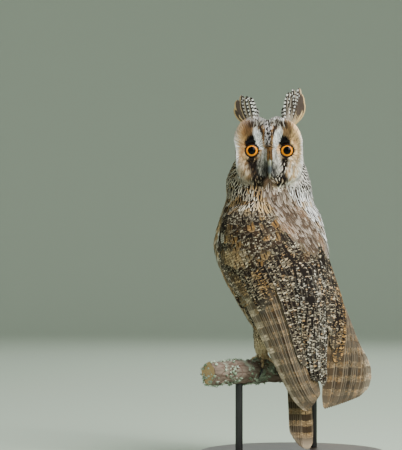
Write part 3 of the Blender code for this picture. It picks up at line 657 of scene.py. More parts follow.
def stamp(mesh, label, values):
    """Give every point of a mesh three numbers under a label."""
    layer = mesh.attributes.new(label, "FLOAT_VECTOR", "POINT")
    layer.data.foreach_set("vector", np.ascontiguousarray(values, np.float32).ravel())


def vanes(name, slot, nodes, leaves, half, crown, ground, mark, pattern, edging, rooms, finish,
          columns=3, seed=1):
    """Feathers as closed thin leaves in one object. leaves gives their middle lines, their directions across
    and their upper sides at every ring, half and crown their half width and thickness."""
    centre, over, out = leaves
    count, rings = centre.shape[:2]
    rings -= 2
    crown = np.broadcast_to(crown, half.shape)
    across = np.linspace(-1, 1, columns)
    rise = (1 - across**2) + 0.02
    inner = slice(1, -1)
    points = (
        centre[:, inner, None]
        + over[:, inner, None] * (half[:, inner, None, None] * across[:, None])
        + out[:, inner, None] * (crown[:, inner, None, None] * rise[:, None])
    ).reshape(count, rings * columns, 3)
    points = np.concatenate([centre[:, :1], points, centre[:, -1:]], 1)
    size = rings * columns + 2
    last = size - 1 - columns
    faces = [(0, 1 + k, 2 + k) for k in range(columns - 1)] + [(0, columns, 1)]
    for start in range(1, last, columns):
        for k in range(columns):
            a, b = start + k, start + (k + 1) % columns
            faces += [(a, a + columns, b + columns), (a, b + columns, b)]
    faces += [(size - 1, last + k + 1, last + k) for k in range(columns - 1)]
    faces = np.asarray(faces + [(size - 1, last, last + columns - 1)])
    # the first face of the middle strip decides whether all of them are turned round
    a, b, c = (points[:, faces[0, k]] for k in range(3))
    turned_in = np.sum(np.cross(b - a, c - a) * out[:, 1], -1) < 0
    every = np.where(turned_in[:, None, None], faces[None, :, ::-1], faces[None])
    every = every + (np.arange(count) * size)[:, None, None]
    piece = mesh_piece(name, points.reshape(-1, 3), every.reshape(-1, 3), finish)
    mesh = piece.data
    feather_seed = np.random.default_rng(seed).uniform(0, 1, count)
    length = np.linalg.norm(np.diff(centre, axis=1), axis=-1)
    travelled = np.concatenate([np.zeros((count, 1)), np.cumsum(length, 1)], 1)

    def spread(values):
        return np.concatenate([values[:, :1], np.repeat(values[:, inner], columns, 1), values[:, -1:]], 1)

    sideways = np.concatenate([[0], np.tile(across, rings), [0]])[None].repeat(count, 0)
    along = spread(travelled / travelled[:, -1:])
    vane = np.stack([sideways, along, np.repeat(feather_seed[:, None], size, 1)], -1)
    stamp(mesh, "vane", vane)
    barb = np.stack([sideways * spread(half) * 1000, spread(travelled) * 1000, vane[..., 2] * 60], -1)
    stamp(mesh, "barb", barb)
    for label, look in (("ground", ground), ("mark", mark), ("pattern", pattern), ("edging", edging)):
        stamp(mesh, label, np.repeat(np.broadcast_to(look, (count, 3))[:, None], size, 1))
    # rims are sharp, so that each side of a vane is shaded smooth by itself
    role = np.concatenate([[3], np.tile(np.r_[1, np.zeros(columns - 2, int), 2], rings), [3]])
    role = np.tile(role, count)
    ends = np.zeros(len(mesh.edges) * 2, np.int32)
    mesh.edges.foreach_get("vertices", ends)
    first, second = role[ends.reshape(-1, 2)].T
    sharp = ((first > 0) & (second > 0)) & ((first == second) | (first == 3) | (second == 3))
    mesh.attributes.new("sharp_edge", "BOOLEAN", "EDGE").data.foreach_set("value", sharp)
    # each feather's patch lies at its root's place on the unwrapped skin
    local = np.stack([sideways * rooms[:, 2:3] / 2, (along - 0.5) * rooms[:, 3:4]], -1)
    spots = (rooms[:, None, :2] + local).reshape(-1, 2)
    layout = mesh.uv_layers.new(name="OFBake")
    layout.uv.foreach_set("vector", np.ascontiguousarray(spots[every.reshape(-1)], np.float32).ravel())
    fixed(piece, slot, *nodes)


def unwrapped(points, middle, low, high, patch_size=0.003):
    """Room for each feather on the skin unrolled round an upright line through its middle."""
    turn = np.arctan2(points[:, 0] - middle[0], -(points[:, 1] - middle[1])) / (2 * math.pi) + 0.5
    up = (points[:, 2] - low) / (high - low)
    sizes = np.full(len(points), patch_size)
    return np.stack([0.02 + 0.96 * turn, 0.02 + 0.96 * np.clip(up, 0, 1), sizes, sizes], 1)


def scattered(allowed, spacing, seed, tries=5.0):
    """Places on the skin, none nearer to another than the spacing there, with their normals."""
    rng = np.random.default_rng(seed)
    corners = skin_points[skin_faces]
    area = np.linalg.norm(np.cross(corners[:, 1] - corners[:, 0], corners[:, 2] - corners[:, 0]), axis=1) / 2
    middle = corners.mean(1)
    gap = spacing(middle, face_normals)
    wanted = area * allowed(middle, face_normals) / gap**2
    chosen = rng.choice(len(middle), int(wanted.sum() * tries), p=wanted / wanted.sum())
    a, b = rng.uniform(0, 1, (2, len(chosen)))
    a, b = np.where(a + b > 1, 1 - a, a), np.where(a + b > 1, 1 - b, b)
    first, second, third = (corners[chosen, k] for k in range(3))
    points = first + (second - first) * a[:, None] + (third - first) * b[:, None]
    gaps = gap[chosen]
    cells = np.floor(points / gaps.max()).astype(int)
    near_by = [(dx, dy, dz) for dx in (-1, 0, 1) for dy in (-1, 0, 1) for dz in (-1, 0, 1)]
    taken, kept = {}, []
    for k, ((i, j, m), (x, y, z), near) in enumerate(zip(cells.tolist(), points.tolist(), (gaps**2).tolist())):
        around = (taken.get((i + dx, j + dy, m + dz), ()) for dx, dy, dz in near_by)
        if all((a - x) ** 2 + (b - y) ** 2 + (c - z) ** 2 >= near for cell in around for a, b, c in cell):
            taken.setdefault((i, j, m), []).append((x, y, z))
            kept.append(k)
    return points[kept], face_normals[chosen[kept]]


def laid(points, normals, flow, length, lift, rings, root_depth=0.0004):
    """Feathers that start at places on the skin and follow it along a flow: their middle lines, directions
    across and upper sides, and the share of their length at each ring."""
    share = np.concatenate([[0], np.linspace(0, 1, rings + 1)[1:-1] * 0.92 + 0.04, [0.955, 1.0]])
    step = np.diff(share)
    place, normal = points.copy(), normals.copy()
    centre, outs, overs = [place - normal * root_depth], [], []
    way = flow(place, normal)
    for k in range(rings + 1):
        way = unit(way - normal * dot(way, normal))
        outs.append(normal)
        overs.append(unit(np.cross(way, normal)))
        moved = place + way * (length * step[k])[:, None]
        found = [skin_tree.find_nearest(spot) for spot in moved.tolist()]
        place = np.array([hit[0] for hit in found])
        normal = unit(0.35 * normal + face_normals[[hit[2] for hit in found]])
        way = unit(0.5 * way + flow(place, normal) * 0.5)
        centre.append(place + normal * (lift * share[k + 1] ** 0.8)[:, None])
    outs.append(normal)
    overs.append(overs[-1])
    return np.stack([np.stack(rows, 1) for rows in (centre, overs, outs)]), share


def outline(share, half, blunt=0.78, root=0.45):
    """Half width of feathers along their length: narrow root, widest past the middle, rounded tip."""
    rise = root + (1 - root) * ease(share, 0.0, 0.45)
    fall = np.sqrt(np.maximum(1 - np.clip((share - blunt) / (1 - blunt), 0, 1) ** 2, 0))
    return np.atleast_1d(half)[:, None] * (rise * fall)[None]


def body_flow(points, normals):
    """The way body feathers lie: down, and backward as well on the flanks and the folded wings."""
    up = points[:, 2]
    lean = 0.38 * (1 - ease(up, 0.262, 0.290)) * (1 - ease(-up, -0.150, -0.120) * 0.7)
    way = np.tile([0.0, 0.0, -1.0], (len(points), 1)) + lean[:, None] * heading(0.0, 1.0, 0.0)
    way[:, 0] += patch(points, 14, 262, 40, 40, 0.0, 0.5) * 0.42
    return unit(way)


def on_body(points, normals):
    return (1 - ease(points[:, 2], 0.307, 0.312)) * ease(points[:, 2], 0.130, 0.134)


def body_spacing(points, normals):
    """Wider apart from the neck down, and close on the soft mantle."""
    up = points[:, 2]
    mantle, beyond = mantle_shares(points)
    gap = 0.0034 + 0.0012 * ease(-up, -0.286, -0.262) - 0.0014 * ease(-up, -0.170, -0.130) + 0.0007 * beyond
    return gap - (gap - 0.0027) * mantle


roots, root_normals = scattered(on_body, body_spacing, 11)
ground, mark, pattern, tip = plumage(roots, root_normals)
rng = np.random.default_rng(12)
count = len(roots)
size = body_spacing(roots, root_normals)
band, beyond = mantle_shares(roots)
on_neck = ease(roots[:, 2], 0.274, 0.290)
length = (0.0030 + 3.1 * size) * rng.uniform(0.88, 1.12, count)
length += 0.0030 * on_neck * (size > 0.0030) + 0.0035 * band
lift = 0.0011 + 0.28 * size * rng.uniform(0.6, 1.4, count)
leaves, share = laid(roots, root_normals, body_flow, length, lift, 5)
slender = (0.94 - 0.24 * on_neck) * (1 - 0.36 * band - 0.15 * beyond)
half = outline(share, size * slender * rng.uniform(0.9, 1.1, count))
half = half * (1 + rng.uniform(-0.09, 0.09, half.shape) * (share > 0.3))
crown = np.broadcast_to(0.00026 * (1 - share * 0.5), half.shape)
edging = np.stack([tip, tip * 0.5, np.full(count, 3.0)], 1)
rooms = unwrapped(roots, (BODY_X, BODY_Y), 0.10, 0.33)
coat_finish = feather_finish("feather_vanes")
back_half = owl_frame(root_normals + bird(0.0, 0.0, 0.0))[1] > 0
for label, chosen in (("coat_back", back_half), ("coat_breast", ~back_half)):
    looks = (look[chosen] for look in (half, crown, ground, mark, pattern, edging, rooms))
    vanes(label, "body_feathers", ("torso", "neck"), leaves[:, chosen], *looks, coat_finish, seed=13)

# Folded wings. Long flight feathers lie in one fan over each wing's surface, each a little over the
# next, and coverts and tertials cover their roots in rows like tiles. All are thin closed vanes.
LAYER = 0.0009
WINGS = (
    ("wing_left", WING_LEFT, (0.975, 0.99, 0.995, 0.96), 21),
    ("wing_right", WING_RIGHT, (0.975, 0.99, 0.995, 0.985), 22),
)
# tiers: name, count, root along the wing, tips along it from first to last, across the wing at the root
# and at the tip from first to last, half width, height at the root and drop to the tip, layer step
TIERS = (
    ("flights", 20, 0.30, None, (0.13, 0.78), (0.20, 0.86), 0.0062, 0.0002, 0.0004, LAYER * 0.85),
    ("tertials", 5, 0.26, (0.84, 0.66), (0.66, 0.90), (0.76, 1.00), 0.0080, 0.0036, 0.0022, LAYER * 1.1),
    ("primary_coverts", 7, 0.20, (0.46, 0.52), (0.05, 0.24), (0.09, 0.29), 0.0050, 0.0032, 0.0018, LAYER),
    ("greater_coverts", 11, 0.20, (0.58, 0.50), (0.28, 0.70), (0.31, 0.76), 0.0056, 0.0040, 0.0022, LAYER),
)


def lerp(pair, share):
    """A value between two."""
    return pair[0] + (pair[1] - pair[0]) * share


def running(centre):
    """The way that middle lines run at each of their rings."""
    run = np.diff(centre, axis=1)
    return unit(np.concatenate([run, run[:, -1:]], 1))


def strips(across, wide, high=0.94):
    """Tall rooms side by side on the unwrapped layout, for feathers that don't grow from the skin."""
    return np.stack([across, *(np.full_like(across, value) for value in (0.5, wide, high))], 1)


def tier_leaves(rng, rows, tips, name, count, root, reach, at_root, at_tip, half, height, sink, layer):
    """One tier of a wing's feathers, with their half widths and thickness."""
    place = np.linspace(0, 1, count)
    jitter = rng.uniform(-0.006, 0.006, count)
    tip = lerp(reach, place) + jitter if reach else np.interp(place, (0, 0.08, 0.16, 1), tips)
    rings = 14 if name == "flights" else 8
    share = np.concatenate([[0], np.linspace(0.03, 0.94, rings), [0.97, 0.99, 1.0]])
    along = root + (tip[:, None] - root) * share
    across_root, across_tip = lerp(at_root, place), lerp(at_tip, place)
    across = across_root[:, None] + (across_tip - across_root)[:, None] * share**0.8
    spot, normal = wing_surface(rows, along, across)
    run = running(spot)
    over = unit(np.cross(run, normal))
    # each vane leans a little, its outer side under its neighbour further from the body
    lean = layer / (half * 1.25)
    lead = wing_surface(rows, along, across - 0.02)[0] - spot
    over = unit(over + normal * lean * np.sign(dot(lead, over)))
    out = unit(np.cross(over, run))
    out = out * np.sign(dot(out, normal))
    level = height + 0.0004 * rng.uniform(-1, 1, count)[:, None] - sink * share
    level = level - 0.0055 * (1 - ease(share, 0.0, 0.22))
    width = outline(share, half * rng.uniform(0.94, 1.06, count), 0.86, 0.5)
    return np.stack([spot + normal * level[..., None], over, out]), width, 0.00042 * (1 - 0.45 * share)


def tier_looks(rng, name, centre):
    """Colours and pattern of one tier: ground, mark, streak with bars and waves, and edges with pitch."""
    count = len(centre)
    place = np.linspace(0, 1, count)
    if name == "flights":
        ground = painted(
            between((101, 88, 67), (160, 132, 98), 0.6 * rng.uniform(0, 1, count)),
            ((214, 196, 166), 0.8 * (1 - ease(place, 0.08, 0.20))),
        )
        pitch = 15.0 + rng.uniform(-0.15, 0.15, count)
        edging = np.stack([np.full(count, 0.14), np.full(count, 0.28), pitch], 1)
        return ground, shade(40, 31, 24), (0.10, 0.80, 0.55), edging
    drift = wander(centre[:, centre.shape[1] // 2], 0.05, 8)
    ground = between((186, 172, 144), (188, 148, 92), ease(drift, 0.5, 0.8))
    pattern, pitch = (0.28, 0.7, 1.0), 7.0 if name == "tertials" else 4.0
    if name == "primary_coverts":
        buff = np.full(count, 0.7)
        ground = painted(ground, ((178, 140, 90), buff), ((226, 212, 188), 0.8 * (1 - ease(place, 0.2, 0.5))))
        pattern, pitch = (0.2, 0.7, 0.9), 6.0
    return ground, shade(26, 19, 14), pattern, (0.10, 0.10, pitch)


flight_finish = feather_finish("long_vanes", 0.5)
total = sum(tier[1] for tier in TIERS)
for label, rows, tips, seed in WINGS:
    shape_rng, rng = np.random.default_rng(seed), np.random.default_rng(seed)
    strip = 0.5
    for name, count, *tier in TIERS:
        leaves, width, crown = tier_leaves(shape_rng, rows, tips, name, count, *tier)
        rooms = strips(0.01 + 0.98 * (strip + np.arange(count)) / total, 0.9 / total)
        strip += count
        vanes(f"{label}_{name}", "wing_feathers", (label,), leaves, width, crown,
              *tier_looks(rng, name, leaves[0]), rooms, flight_finish, columns=5, seed=seed)

# Lower back. Broad scapulars and inner wing feathers lie in rows like tiles over the gap between the
# wings, black with whitish and ochre wavy marks.
BACK_ROWS, BACK_COLUMNS = 9, 7


def faced(centre, facing):
    """Leaves along middle lines, with their upper sides turned one way."""
    run = running(centre)
    out = unit(facing - run * dot(facing, run))
    return np.stack([centre, unit(np.cross(run, out)), out])


rng = np.random.default_rng(26)
row, column = (grid.ravel() for grid in np.indices((BACK_ROWS, BACK_COLUMNS)))
count = len(row)
start = 0.755 - 0.040 * row + rng.uniform(-0.012, 0.012, count)
reach = 0.150 - 0.005 * row + rng.uniform(-0.015, 0.015, count)
aside = (column + 0.5 * (row % 2) + 0.25 + rng.uniform(-0.15, 0.15, count)) / BACK_COLUMNS * 2 - 1
share = np.concatenate([[0], np.linspace(0.04, 0.93, 9), [0.97, 1.0]])
along = start[:, None] + reach[:, None] * share
left_edge, right_edge = rows_at(WING_LEFT, along)[..., 3:6], rows_at(WING_RIGHT, along)[..., 3:6]
spot = (left_edge + right_edge) / 2
spot[..., 0] += aside[:, None] * (0.0105 + np.linalg.norm(right_edge - left_edge, axis=-1) / 2)
spot[..., 1] += 0.0046 * (1 - aside**2)[:, None] - 0.0042 * (np.abs(aside) ** 3)[:, None]
spot[..., 1] += 0.0022 + 0.0003 * row[:, None] - 0.0014 * share - 0.0045 * (1 - ease(share, 0, 0.3))
leaves = faced(placed(spot), heading(aside * 0.75, 1.0, 0.25)[:, None])
width = outline(share, rng.uniform(0.0058, 0.0070, count), 0.80, 0.5)
picked = rng.uniform(0, 1, (3, count))
ground = painted(
    between((176, 164, 140), (220, 214, 198), picked[0]),
    ((184, 146, 94), 0.45 * ease(picked[1], 0.75, 0.86)),
)
pattern = np.stack([0.25 + 0.3 * picked[2], np.full(count, 0.7), np.full(count, 1.0)], 1)
rooms = strips(0.02 + 0.96 * (np.arange(count) + 0.5) / count, 0.9 / count)
vanes("back_feathers", "body_feathers", ("torso",), leaves, width, 0.0005 * (1 - 0.4 * share), ground,
      shade(26, 20, 15), pattern, (0.1, 0.1, 4.0), rooms, flight_finish, columns=5, seed=27)

# Tail. Twelve feathers stacked on the middle pair hang straight down past the branch, barred and with
# pale tips. Their roots are hidden in the feathering of the rump.
TAIL_TOP, TAIL_TIP = np.array([-0.004, 0.046, 0.142]), np.array([-0.003, 0.058, 0.0175])
TAIL_FEATHERS, TAIL_HALF_WIDTH, TAIL_SPREAD = 12, 0.0085, 0.0100
place = np.arange(TAIL_FEATHERS) - (TAIL_FEATHERS - 1) / 2
shift = place / 6
depth = LAYER * (2 * np.abs(place) - np.where(place > 0, 0.5, 1.5))
tip = TAIL_TIP + np.stack([shift * TAIL_SPREAD, -depth, 0.015 * shift**2], 1)
top = TAIL_TOP + np.stack([shift * 0.007, -0.95 * depth, np.full(TAIL_FEATHERS, -0.010)], 1)
share = np.concatenate([[0], np.linspace(0.03, 0.94, 14), [0.97, 0.99, 1.0]])
line = top[:, None] + (tip - top)[:, None] * share[None, :, None]
line[..., 1] += 0.006 * share * (1 - share)
sideways, behind = unit(heading(1.0, 0.0, 0.0)), unit(heading(0.0, 1.0, 0.0))
slope = np.sign(place)[:, None, None] * -0.10
every_ring = np.ones((TAIL_FEATHERS, len(share), 1))
leaves = np.stack([
    placed(line), unit(sideways + behind * slope) * every_ring, unit(behind - sideways * slope) * every_ring,
])
width = outline(share, np.full(TAIL_FEATHERS, TAIL_HALF_WIDTH), 0.90, 0.6)
rooms = strips(0.02 + 0.96 * (np.arange(TAIL_FEATHERS) + 0.5) / TAIL_FEATHERS, 0.072)
vanes("tail_feathers", "tail_feathers", ("tail",), leaves, width, 0.0005 * (1 - 0.4 * share),
      between((200, 168, 122), (124, 112, 98), np.abs(shift) * 0.5), shade(40, 30, 23),
      (0.10, 0.92, 0.55), (0.75, 0.2, 13.0), rooms, flight_finish, columns=5, seed=31)

# Face. Each eye has its own disc of stiff thin feathers that point away from it, white brows and
# whiskers make a cross between them, and a white rim and a dark speckled ruff run round both.
# disc sizes in millimetres, from the middle between the eyes
DISC_HALF_WIDTH, DISC_UP, DISC_DOWN, EYE_ASIDE = 38.2, 38.5, 40.0, EYE_SPACING * 500
BLACK = shade(20, 16, 14)


def face_place(points):
    """Millimetres to the right of the face's middle and above the eyes, and the share of the disc's reach."""
    x, z = (points[:, 0] - HEAD_X) * 1000, (points[:, 2] - HEAD_HEIGHT) * 1000
    power, high = np.where(z > 0, 2.7, 3.3), np.where(z > 0, DISC_UP, DISC_DOWN)
    return x, z, (np.abs(x / DISC_HALF_WIDTH) ** power + np.abs(z / high) ** power) ** (1 / power)


def face_flow(points, normals):
    """The bristles' lie: away from the nearer eye, up along the forehead, out and down beside the bill."""
    x, z, _ = face_place(points)
    level, side = np.zeros_like(x), np.sign(x)
    away = unit(np.stack([x - side * EYE_ASIDE, level, z], 1))
    stripe = np.exp(-((x / 6.5) ** 2)) * ease(z, 0, 10)
    lores = np.exp(-((x / 9) ** 2)) * (1 - ease(z, -3, 6))
    upward = np.stack([0.12 * side, level, level + 1.0], 1)
    outward = np.stack([0.70 * side, level, level - 0.72], 1)
    way = away * (1 - np.maximum(stripe, lores))[:, None] + upward * stripe[:, None] + outward * lores[:, None]
    return unit(way)


def oval(x, z, middle_x, middle_z, wide, high, lean=0.0, soft=0.3):
    """How far places are inside a leaning oval on the face."""
    reach = np.hypot((x - middle_x - lean * (z - middle_z)) / wide, (z - middle_z) / high)
    return 1 - ease(reach, 1 - soft, 1 + soft)


def face_looks(points):
    """Colours of the face's feathers."""
    x, z, reach = face_place(points)
    aside = np.abs(x)
    # the brows and the forehead stripe sit a little to one side, because the face is turned a little
    shifted = x + 1.8 * ease(z, -5, 10)
    inner = np.abs(shifted)
    fine, speck = wander(points, 0.006, 41), wander(points, 0.0034, 43)
    far = ease(x, -8, 8)
    # discs: buff, with painted light that makes the far side lighter and painted shade that makes the near
    # side darker, and greyer below the eyes
    disc = between((214, 172, 116), (172, 124, 74), ease(fine, 0.4, 0.9))
    disc = disc * (1 + np.where(x > 0, 0.62, -0.16) * ease(aside, 4, 12))[:, None]
    patchy = ease(fine, 0.35, 0.8)
    # below the eyes the near side is darker and the far side paler, partly their own colour and partly painted
    # shade and light
    low = between((168, 152, 124), (132, 106, 74), patchy) * (1 - far)[:, None]
    low = low + between((240, 230, 210), (204, 172, 130), patchy) * far[:, None]
    # black below the eyes that runs down to the chin
    below = oval(aside, z, 16.4 - 1.8 * far, -17, 7.4 - 1.8 * far, 14, 0.30, 0.4)
    chin = oval(aside, z, 11, -31.5, 10.5, 8.0, 0.0, 0.35)
    chin = chin * ease(speck + 0.3 * fine, 0.12 + 0.16 * far, 0.30 + 0.16 * far)
    whisker = between((202, 197, 184), (108, 104, 96), ease(speck, 0.50, 0.80))
    over_brows = ease(z, 24, 27) * (1 - ease(inner, 17, 20))
    dark_line = oval(inner, z, 7.6, 21.5, 2.0, 8.0, 0.32, 0.4)
    brow_reach = np.hypot((inner - 10.6 - 0.30 * (z - 14)) / (4.1 + 0.12 * (z - 12)), (z - 11.8) / 13.2)
    stripe = painted(
        between((186, 180, 178), (34, 28, 24), ease(speck, 0.46, 0.56)),
        ((112, 82, 50), ease(fine, 0.62, 0.74) * ease(inner, 2.2, 4.0)),
    )
    rusty = between((122, 90, 48), (44, 32, 20), ease(speck, 0.36, 0.5))
    crest = painted(
        between((250, 248, 244), (160, 152, 142), ease(fine, 0.4, 0.75)),
        ((40, 31, 25), ease(speck, 0.62, 0.70)),
    )
    rim = ease(reach, 0.885, 0.925) * ease(aside, 14, 24) * (1 - 0.9 * ease(z, 6, 24))
    rim = rim * (1 - (0.8 - 0.35 * far) * ease(-z, 14, 22))
    return painted(
        disc,
        # painted light: the far side of the discs turns paler
        ((246, 226, 190), ease(x, 4, 14) * 0.30),
        ((232, 216, 184), ease(aside, 28, 36) * 0.35),
        (low, 1 - ease(z, -18, -2)),
        ((104, 76, 50), oval(inner, z, 21, 24, 6.5, 11.0, 0.0, 0.6) * 0.9),
        # black round the eyes, spreading above them and down towards the chin
        (BLACK * 0.5, 1 - ease(np.hypot(aside - EYE_ASIDE, z), 8.3, 9.1)),
        (BLACK * 0.5, oval(aside, z, 12.0, -1.0, 2.0, 7.0, -0.1, 0.3)),
        (BLACK * 0.6, oval(inner, z, 18.2, 9.0, 7.2, 8.6, -0.25, 0.2)),
        ((30, 22, 16), below * ease(speck + 0.35 * fine, 0.20, 0.38)),
        ((26, 20, 15), chin),
        ((122, 98, 76), oval(x, z, 0, -35, 5.5, 5.0, 0.0, 0.5) * 0.8),
        # grey white whiskers that spread down beside the bill, with painted shade that darkens them on the
        # near side and turns them dark grey against the bill's lower half
        (whisker * (0.72 + 0.28 * far)[:, None], oval(aside, z, 8.0, -11.5, 4.6, 12.0, -0.22, 0.35)),
        ((50, 49, 48), oval(aside, z, 4.8, -19, 3.6, 8.5, 0.0, 0.5) * 0.9),
        # dark brown over and inside the brows, then the pale grey brows
        ((50, 37, 28), oval(inner, z, 13.5, 28.0, 9.5, 4.0, 0.0, 0.45) * ease(fine, 0.1, 0.4)),
        (between((58, 45, 36), (188, 180, 170), ease(speck, 0.55, 0.66)), over_brows),
        ((44, 31, 22), dark_line),
        (between((242, 242, 238), (188, 188, 184), ease(speck, 0.55, 0.9)), 1 - ease(brow_reach, 0.80, 1.12)),
        # forehead stripe, mauve grey with dark and rusty specks, down to a rusty patch over the bill
        (stripe, oval(shifted, z, 0, 18, 5.6, 17, 0.0, 0.3) * (1 - dark_line)),
        (rusty, oval(shifted, z, 0, 0.5, 4.4, 5.4, 0.0, 0.4)),
        # the crown over the discs is whitish with grey and dark specks, and a white rim runs down the cheeks
        (crest, ease(z, 31.5, 34.0)),
        ((238, 236, 234), rim),
    )


def on_face(points, normals):
    x, z, reach = face_place(points)
    front = ease(-normals[:, 1], 0.1, 0.3) * (points[:, 1] < FACE_Y + 0.020) * (points[:, 2] > 0.298)
    return (reach < 0.98) * (np.hypot(np.abs(x) - EYE_ASIDE, z) > 7.5) * front


def even(size):
    """The same spacing everywhere."""
    return lambda points, normals: np.full(len(points), size)


def head_rooms(points):
    return unwrapped(points, (HEAD_X, FACE_Y + 0.03), 0.295, 0.385)


face_finish = feather_finish("face_bristles", 0.2)
roots, root_normals = scattered(on_face, even(0.00095), 43)
rng = np.random.default_rng(44)
x, z, _ = face_place(roots)
from_eye = np.hypot(np.abs(x) - EYE_ASIDE, z)
# loose feathers stand out at the upper corner of the left disc
loose = oval(x, z, -33, 19, 9, 15, 0.0, 0.4)
length = 0.0034 + 0.0050 * ease(from_eye, 9, 24) * rng.uniform(0.8, 1.15, len(roots))
length = length * (1 - 0.45 * np.exp(-((x / 7) ** 2)) * ease(z, 2, 12)) + 0.0030 * loose
lift = 0.0008 + 0.0009 * ease(from_eye, 8, 16) * rng.uniform(0.5, 1.3, len(roots))
lift += 0.0016 * oval(np.abs(x), z, 7.6, -8.5, 5.5, 12, -0.10, 0.5) + 0.0042 * loose
leaves, share = laid(roots, root_normals, face_flow, length, lift, 3)
half = outline(share, np.full(len(roots), 0.00052), 0.6, 0.6)
ground = face_looks(leaves[0][:, 2]) * rng.uniform(0.72, 1.24, len(roots))[:, None]
vanes("face_discs", "face_feathers", ("head",), leaves, half, 0.00016, ground, ground * 0.5,
      (0.16, 0.0, 0.0), (0.0, 0.0, 2.0), head_rooms(roots), face_finish, seed=45)

# Fringes of the eyes. Short feathers start on each ball just outside the lids and point away from it,
# so that no gap shows between lid and disc.
FRINGE_SHARE = np.array([0.0, 0.1, 0.4, 0.75, 1.0])
FORWARD = Vector((0, 1, 0))
rng = np.random.default_rng(83)
count = 640
sign = np.where(np.arange(count) % 2, 1.0, -1.0)
turn = rng.uniform(0, 2 * math.pi, count)
first = rng.uniform(0.0073, 0.0092, count)
last = first + rng.uniform(0.0030, 0.0042, count)
level = np.ones(count)
middle = np.stack([HEAD_X + sign * EYE_SPACING / 2, (FACE_Y + 0.0108) * level, HEAD_HEIGHT * level], 1)
spoke = np.stack([np.cos(turn), np.zeros(count), np.sin(turn)], 1)
start, end = middle + spoke * first[:, None], middle + spoke * last[:, None]
start[:, 1] -= np.sqrt(0.0100**2 - first**2) + 0.0003
reached = [skin_tree.ray_cast(Vector((x, FACE_Y - 0.03, z)), FORWARD)[0] for x, _, z in end.tolist()]
end[:, 1] = [FACE_Y + 0.006 if hit is None else hit[1] for hit in reached]
end[:, 1] = np.minimum(end[:, 1] - 0.0014, start[:, 1] + 0.0024)
centre = start[:, None] + (end - start)[:, None] * FRINGE_SHARE[:, None]
centre[..., 1] -= 0.0018 * FRINGE_SHARE * (1 - FRINGE_SHARE)
centre[:, 0, 1] += 0.0006
ground = face_looks(centre[:, 3])
vanes("eye_fringes", "face_feathers", ("head",), faced(centre, (spoke * 0.2 + [0.0, -1.0, 0.0])[:, None]),
      outline(FRINGE_SHARE, np.full(count, 0.00055), 0.6, 0.7), 0.00016, ground, ground * 0.5,
      (0.16, 0.0, 0.0), (0.0, 0.0, 2.0), head_rooms(start), face_finish, seed=84)

# Whiskers. Thin bristles stand out beside the bill and fall forward over its root, grey white, with
# painted shade that darkens them towards the mouth and on the near side.
rng = np.random.default_rng(81)
count = 900
sign = np.where(np.arange(count) % 2, 1.0, -1.0)
start_z = rng.uniform(-0.019, 0.003, count)
start_x = sign * (0.0030 + rng.uniform(0, 1, count) * (0.0042 + 0.10 * np.maximum(-start_z, 0)))
aim = np.stack([HEAD_X + start_x, np.full(count, FACE_Y - 0.03), HEAD_HEIGHT + start_z], 1)
hits = [skin_tree.ray_cast(Vector(spot), FORWARD)[0] for spot in aim.tolist()]
roots = np.array([spot + [0, 0.035, 0] if hit is None else list(hit) for spot, hit in zip(aim, hits)])
long = rng.uniform(0.0075, 0.0110, count) * (1 - 0.25 * ease(start_z, -0.004, 0.003))
aside, down = rng.uniform(-0.10, 0.30, count), rng.uniform(-0.75, -0.5, count)
way = np.stack([sign * aside, np.full(count, -0.62), down], 1)
centre = roots[:, None] + unit(way)[:, None] * (long[:, None] * FRINGE_SHARE)[..., None]
centre[..., 2] -= 0.0035 * FRINGE_SHARE**2
centre[..., 1] += 0.0030 * FRINGE_SHARE**2
facing = np.stack([sign * 0.5, np.full(count, -1.0), np.full(count, 0.2)], 1)[:, None]
leaves = faced(centre, facing)
half = outline(FRINGE_SHARE, np.full(count, 0.00048), 0.5, 0.7)
# painted shade of the mouth darkens the whiskers next to it
painted_mouth_shade = ease(-start_z, 0.007, 0.012) * (np.abs(start_x) < 0.0066)
ground = between((210, 206, 194), (122, 118, 108), rng.uniform(0, 1, count) ** 1.4)
# painted shade: the whiskers on the near side are darker
ground = ground * np.where(start_x > 0, 1.0, 0.74)[:, None]
ground = painted(ground, ((48, 46, 45), painted_mouth_shade * rng.uniform(0.6, 1.0, count)))
# shorter ones lie on the flanks of the bill itself and leave only its ridge and tip bare, and rusty ones
# cover the top of the ridge
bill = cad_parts["bill_upper"]
bill_tree = BVHTree.FromPolygons(
    [bill.matrix_world @ corner.co for corner in bill.data.vertices],
    [tuple(face.vertices) for face in bill.data.polygons],
)
flank, on_ridge = 610, 150
sign = np.where(np.arange(flank) % 2, 1.0, -1.0)
ridge = np.arange(flank) < on_ridge
z0 = np.where(ridge, rng.uniform(-0.0050, 0.0045, flank), rng.uniform(-0.0125, 0.0030, flank))
x0 = sign * np.where(ridge, rng.uniform(0.0, 0.0030, flank), rng.uniform(0.0029, 0.0052, flank))
down = rng.uniform(0.0050, 0.0080, flank)[:, None] * FRINGE_SHARE
across = x0[:, None] + sign[:, None] * 0.12 * down + HEAD_X
path = np.stack([across, np.full(down.shape, FACE_Y - 0.03), HEAD_HEIGHT + z0[:, None] - down], -1)
for spots in path:
    for ring, spot in enumerate(spots):
        hits = [tree.ray_cast(Vector(spot), FORWARD)[0] for tree in (bill_tree, skin_tree)]
        level = min([hit[1] for hit in hits if hit is not None] or [FACE_Y + 0.004])
        spot[1] = level - 0.0003 - 0.0007 * FRINGE_SHARE[ring] + 0.0005 * (ring == 0)
path[:, :, 1] = np.minimum.accumulate(path[:, ::-1, 1] + 0.0002, axis=1)[:, ::-1]
facing = np.stack([sign * 0.6, np.full(flank, -1.0), np.full(flank, 0.1)], 1)[:, None]
leaves = np.concatenate([leaves, faced(path, facing)], 1)
half = np.concatenate([half, outline(FRINGE_SHARE, np.full(flank, 0.00042), 0.5, 0.7)])
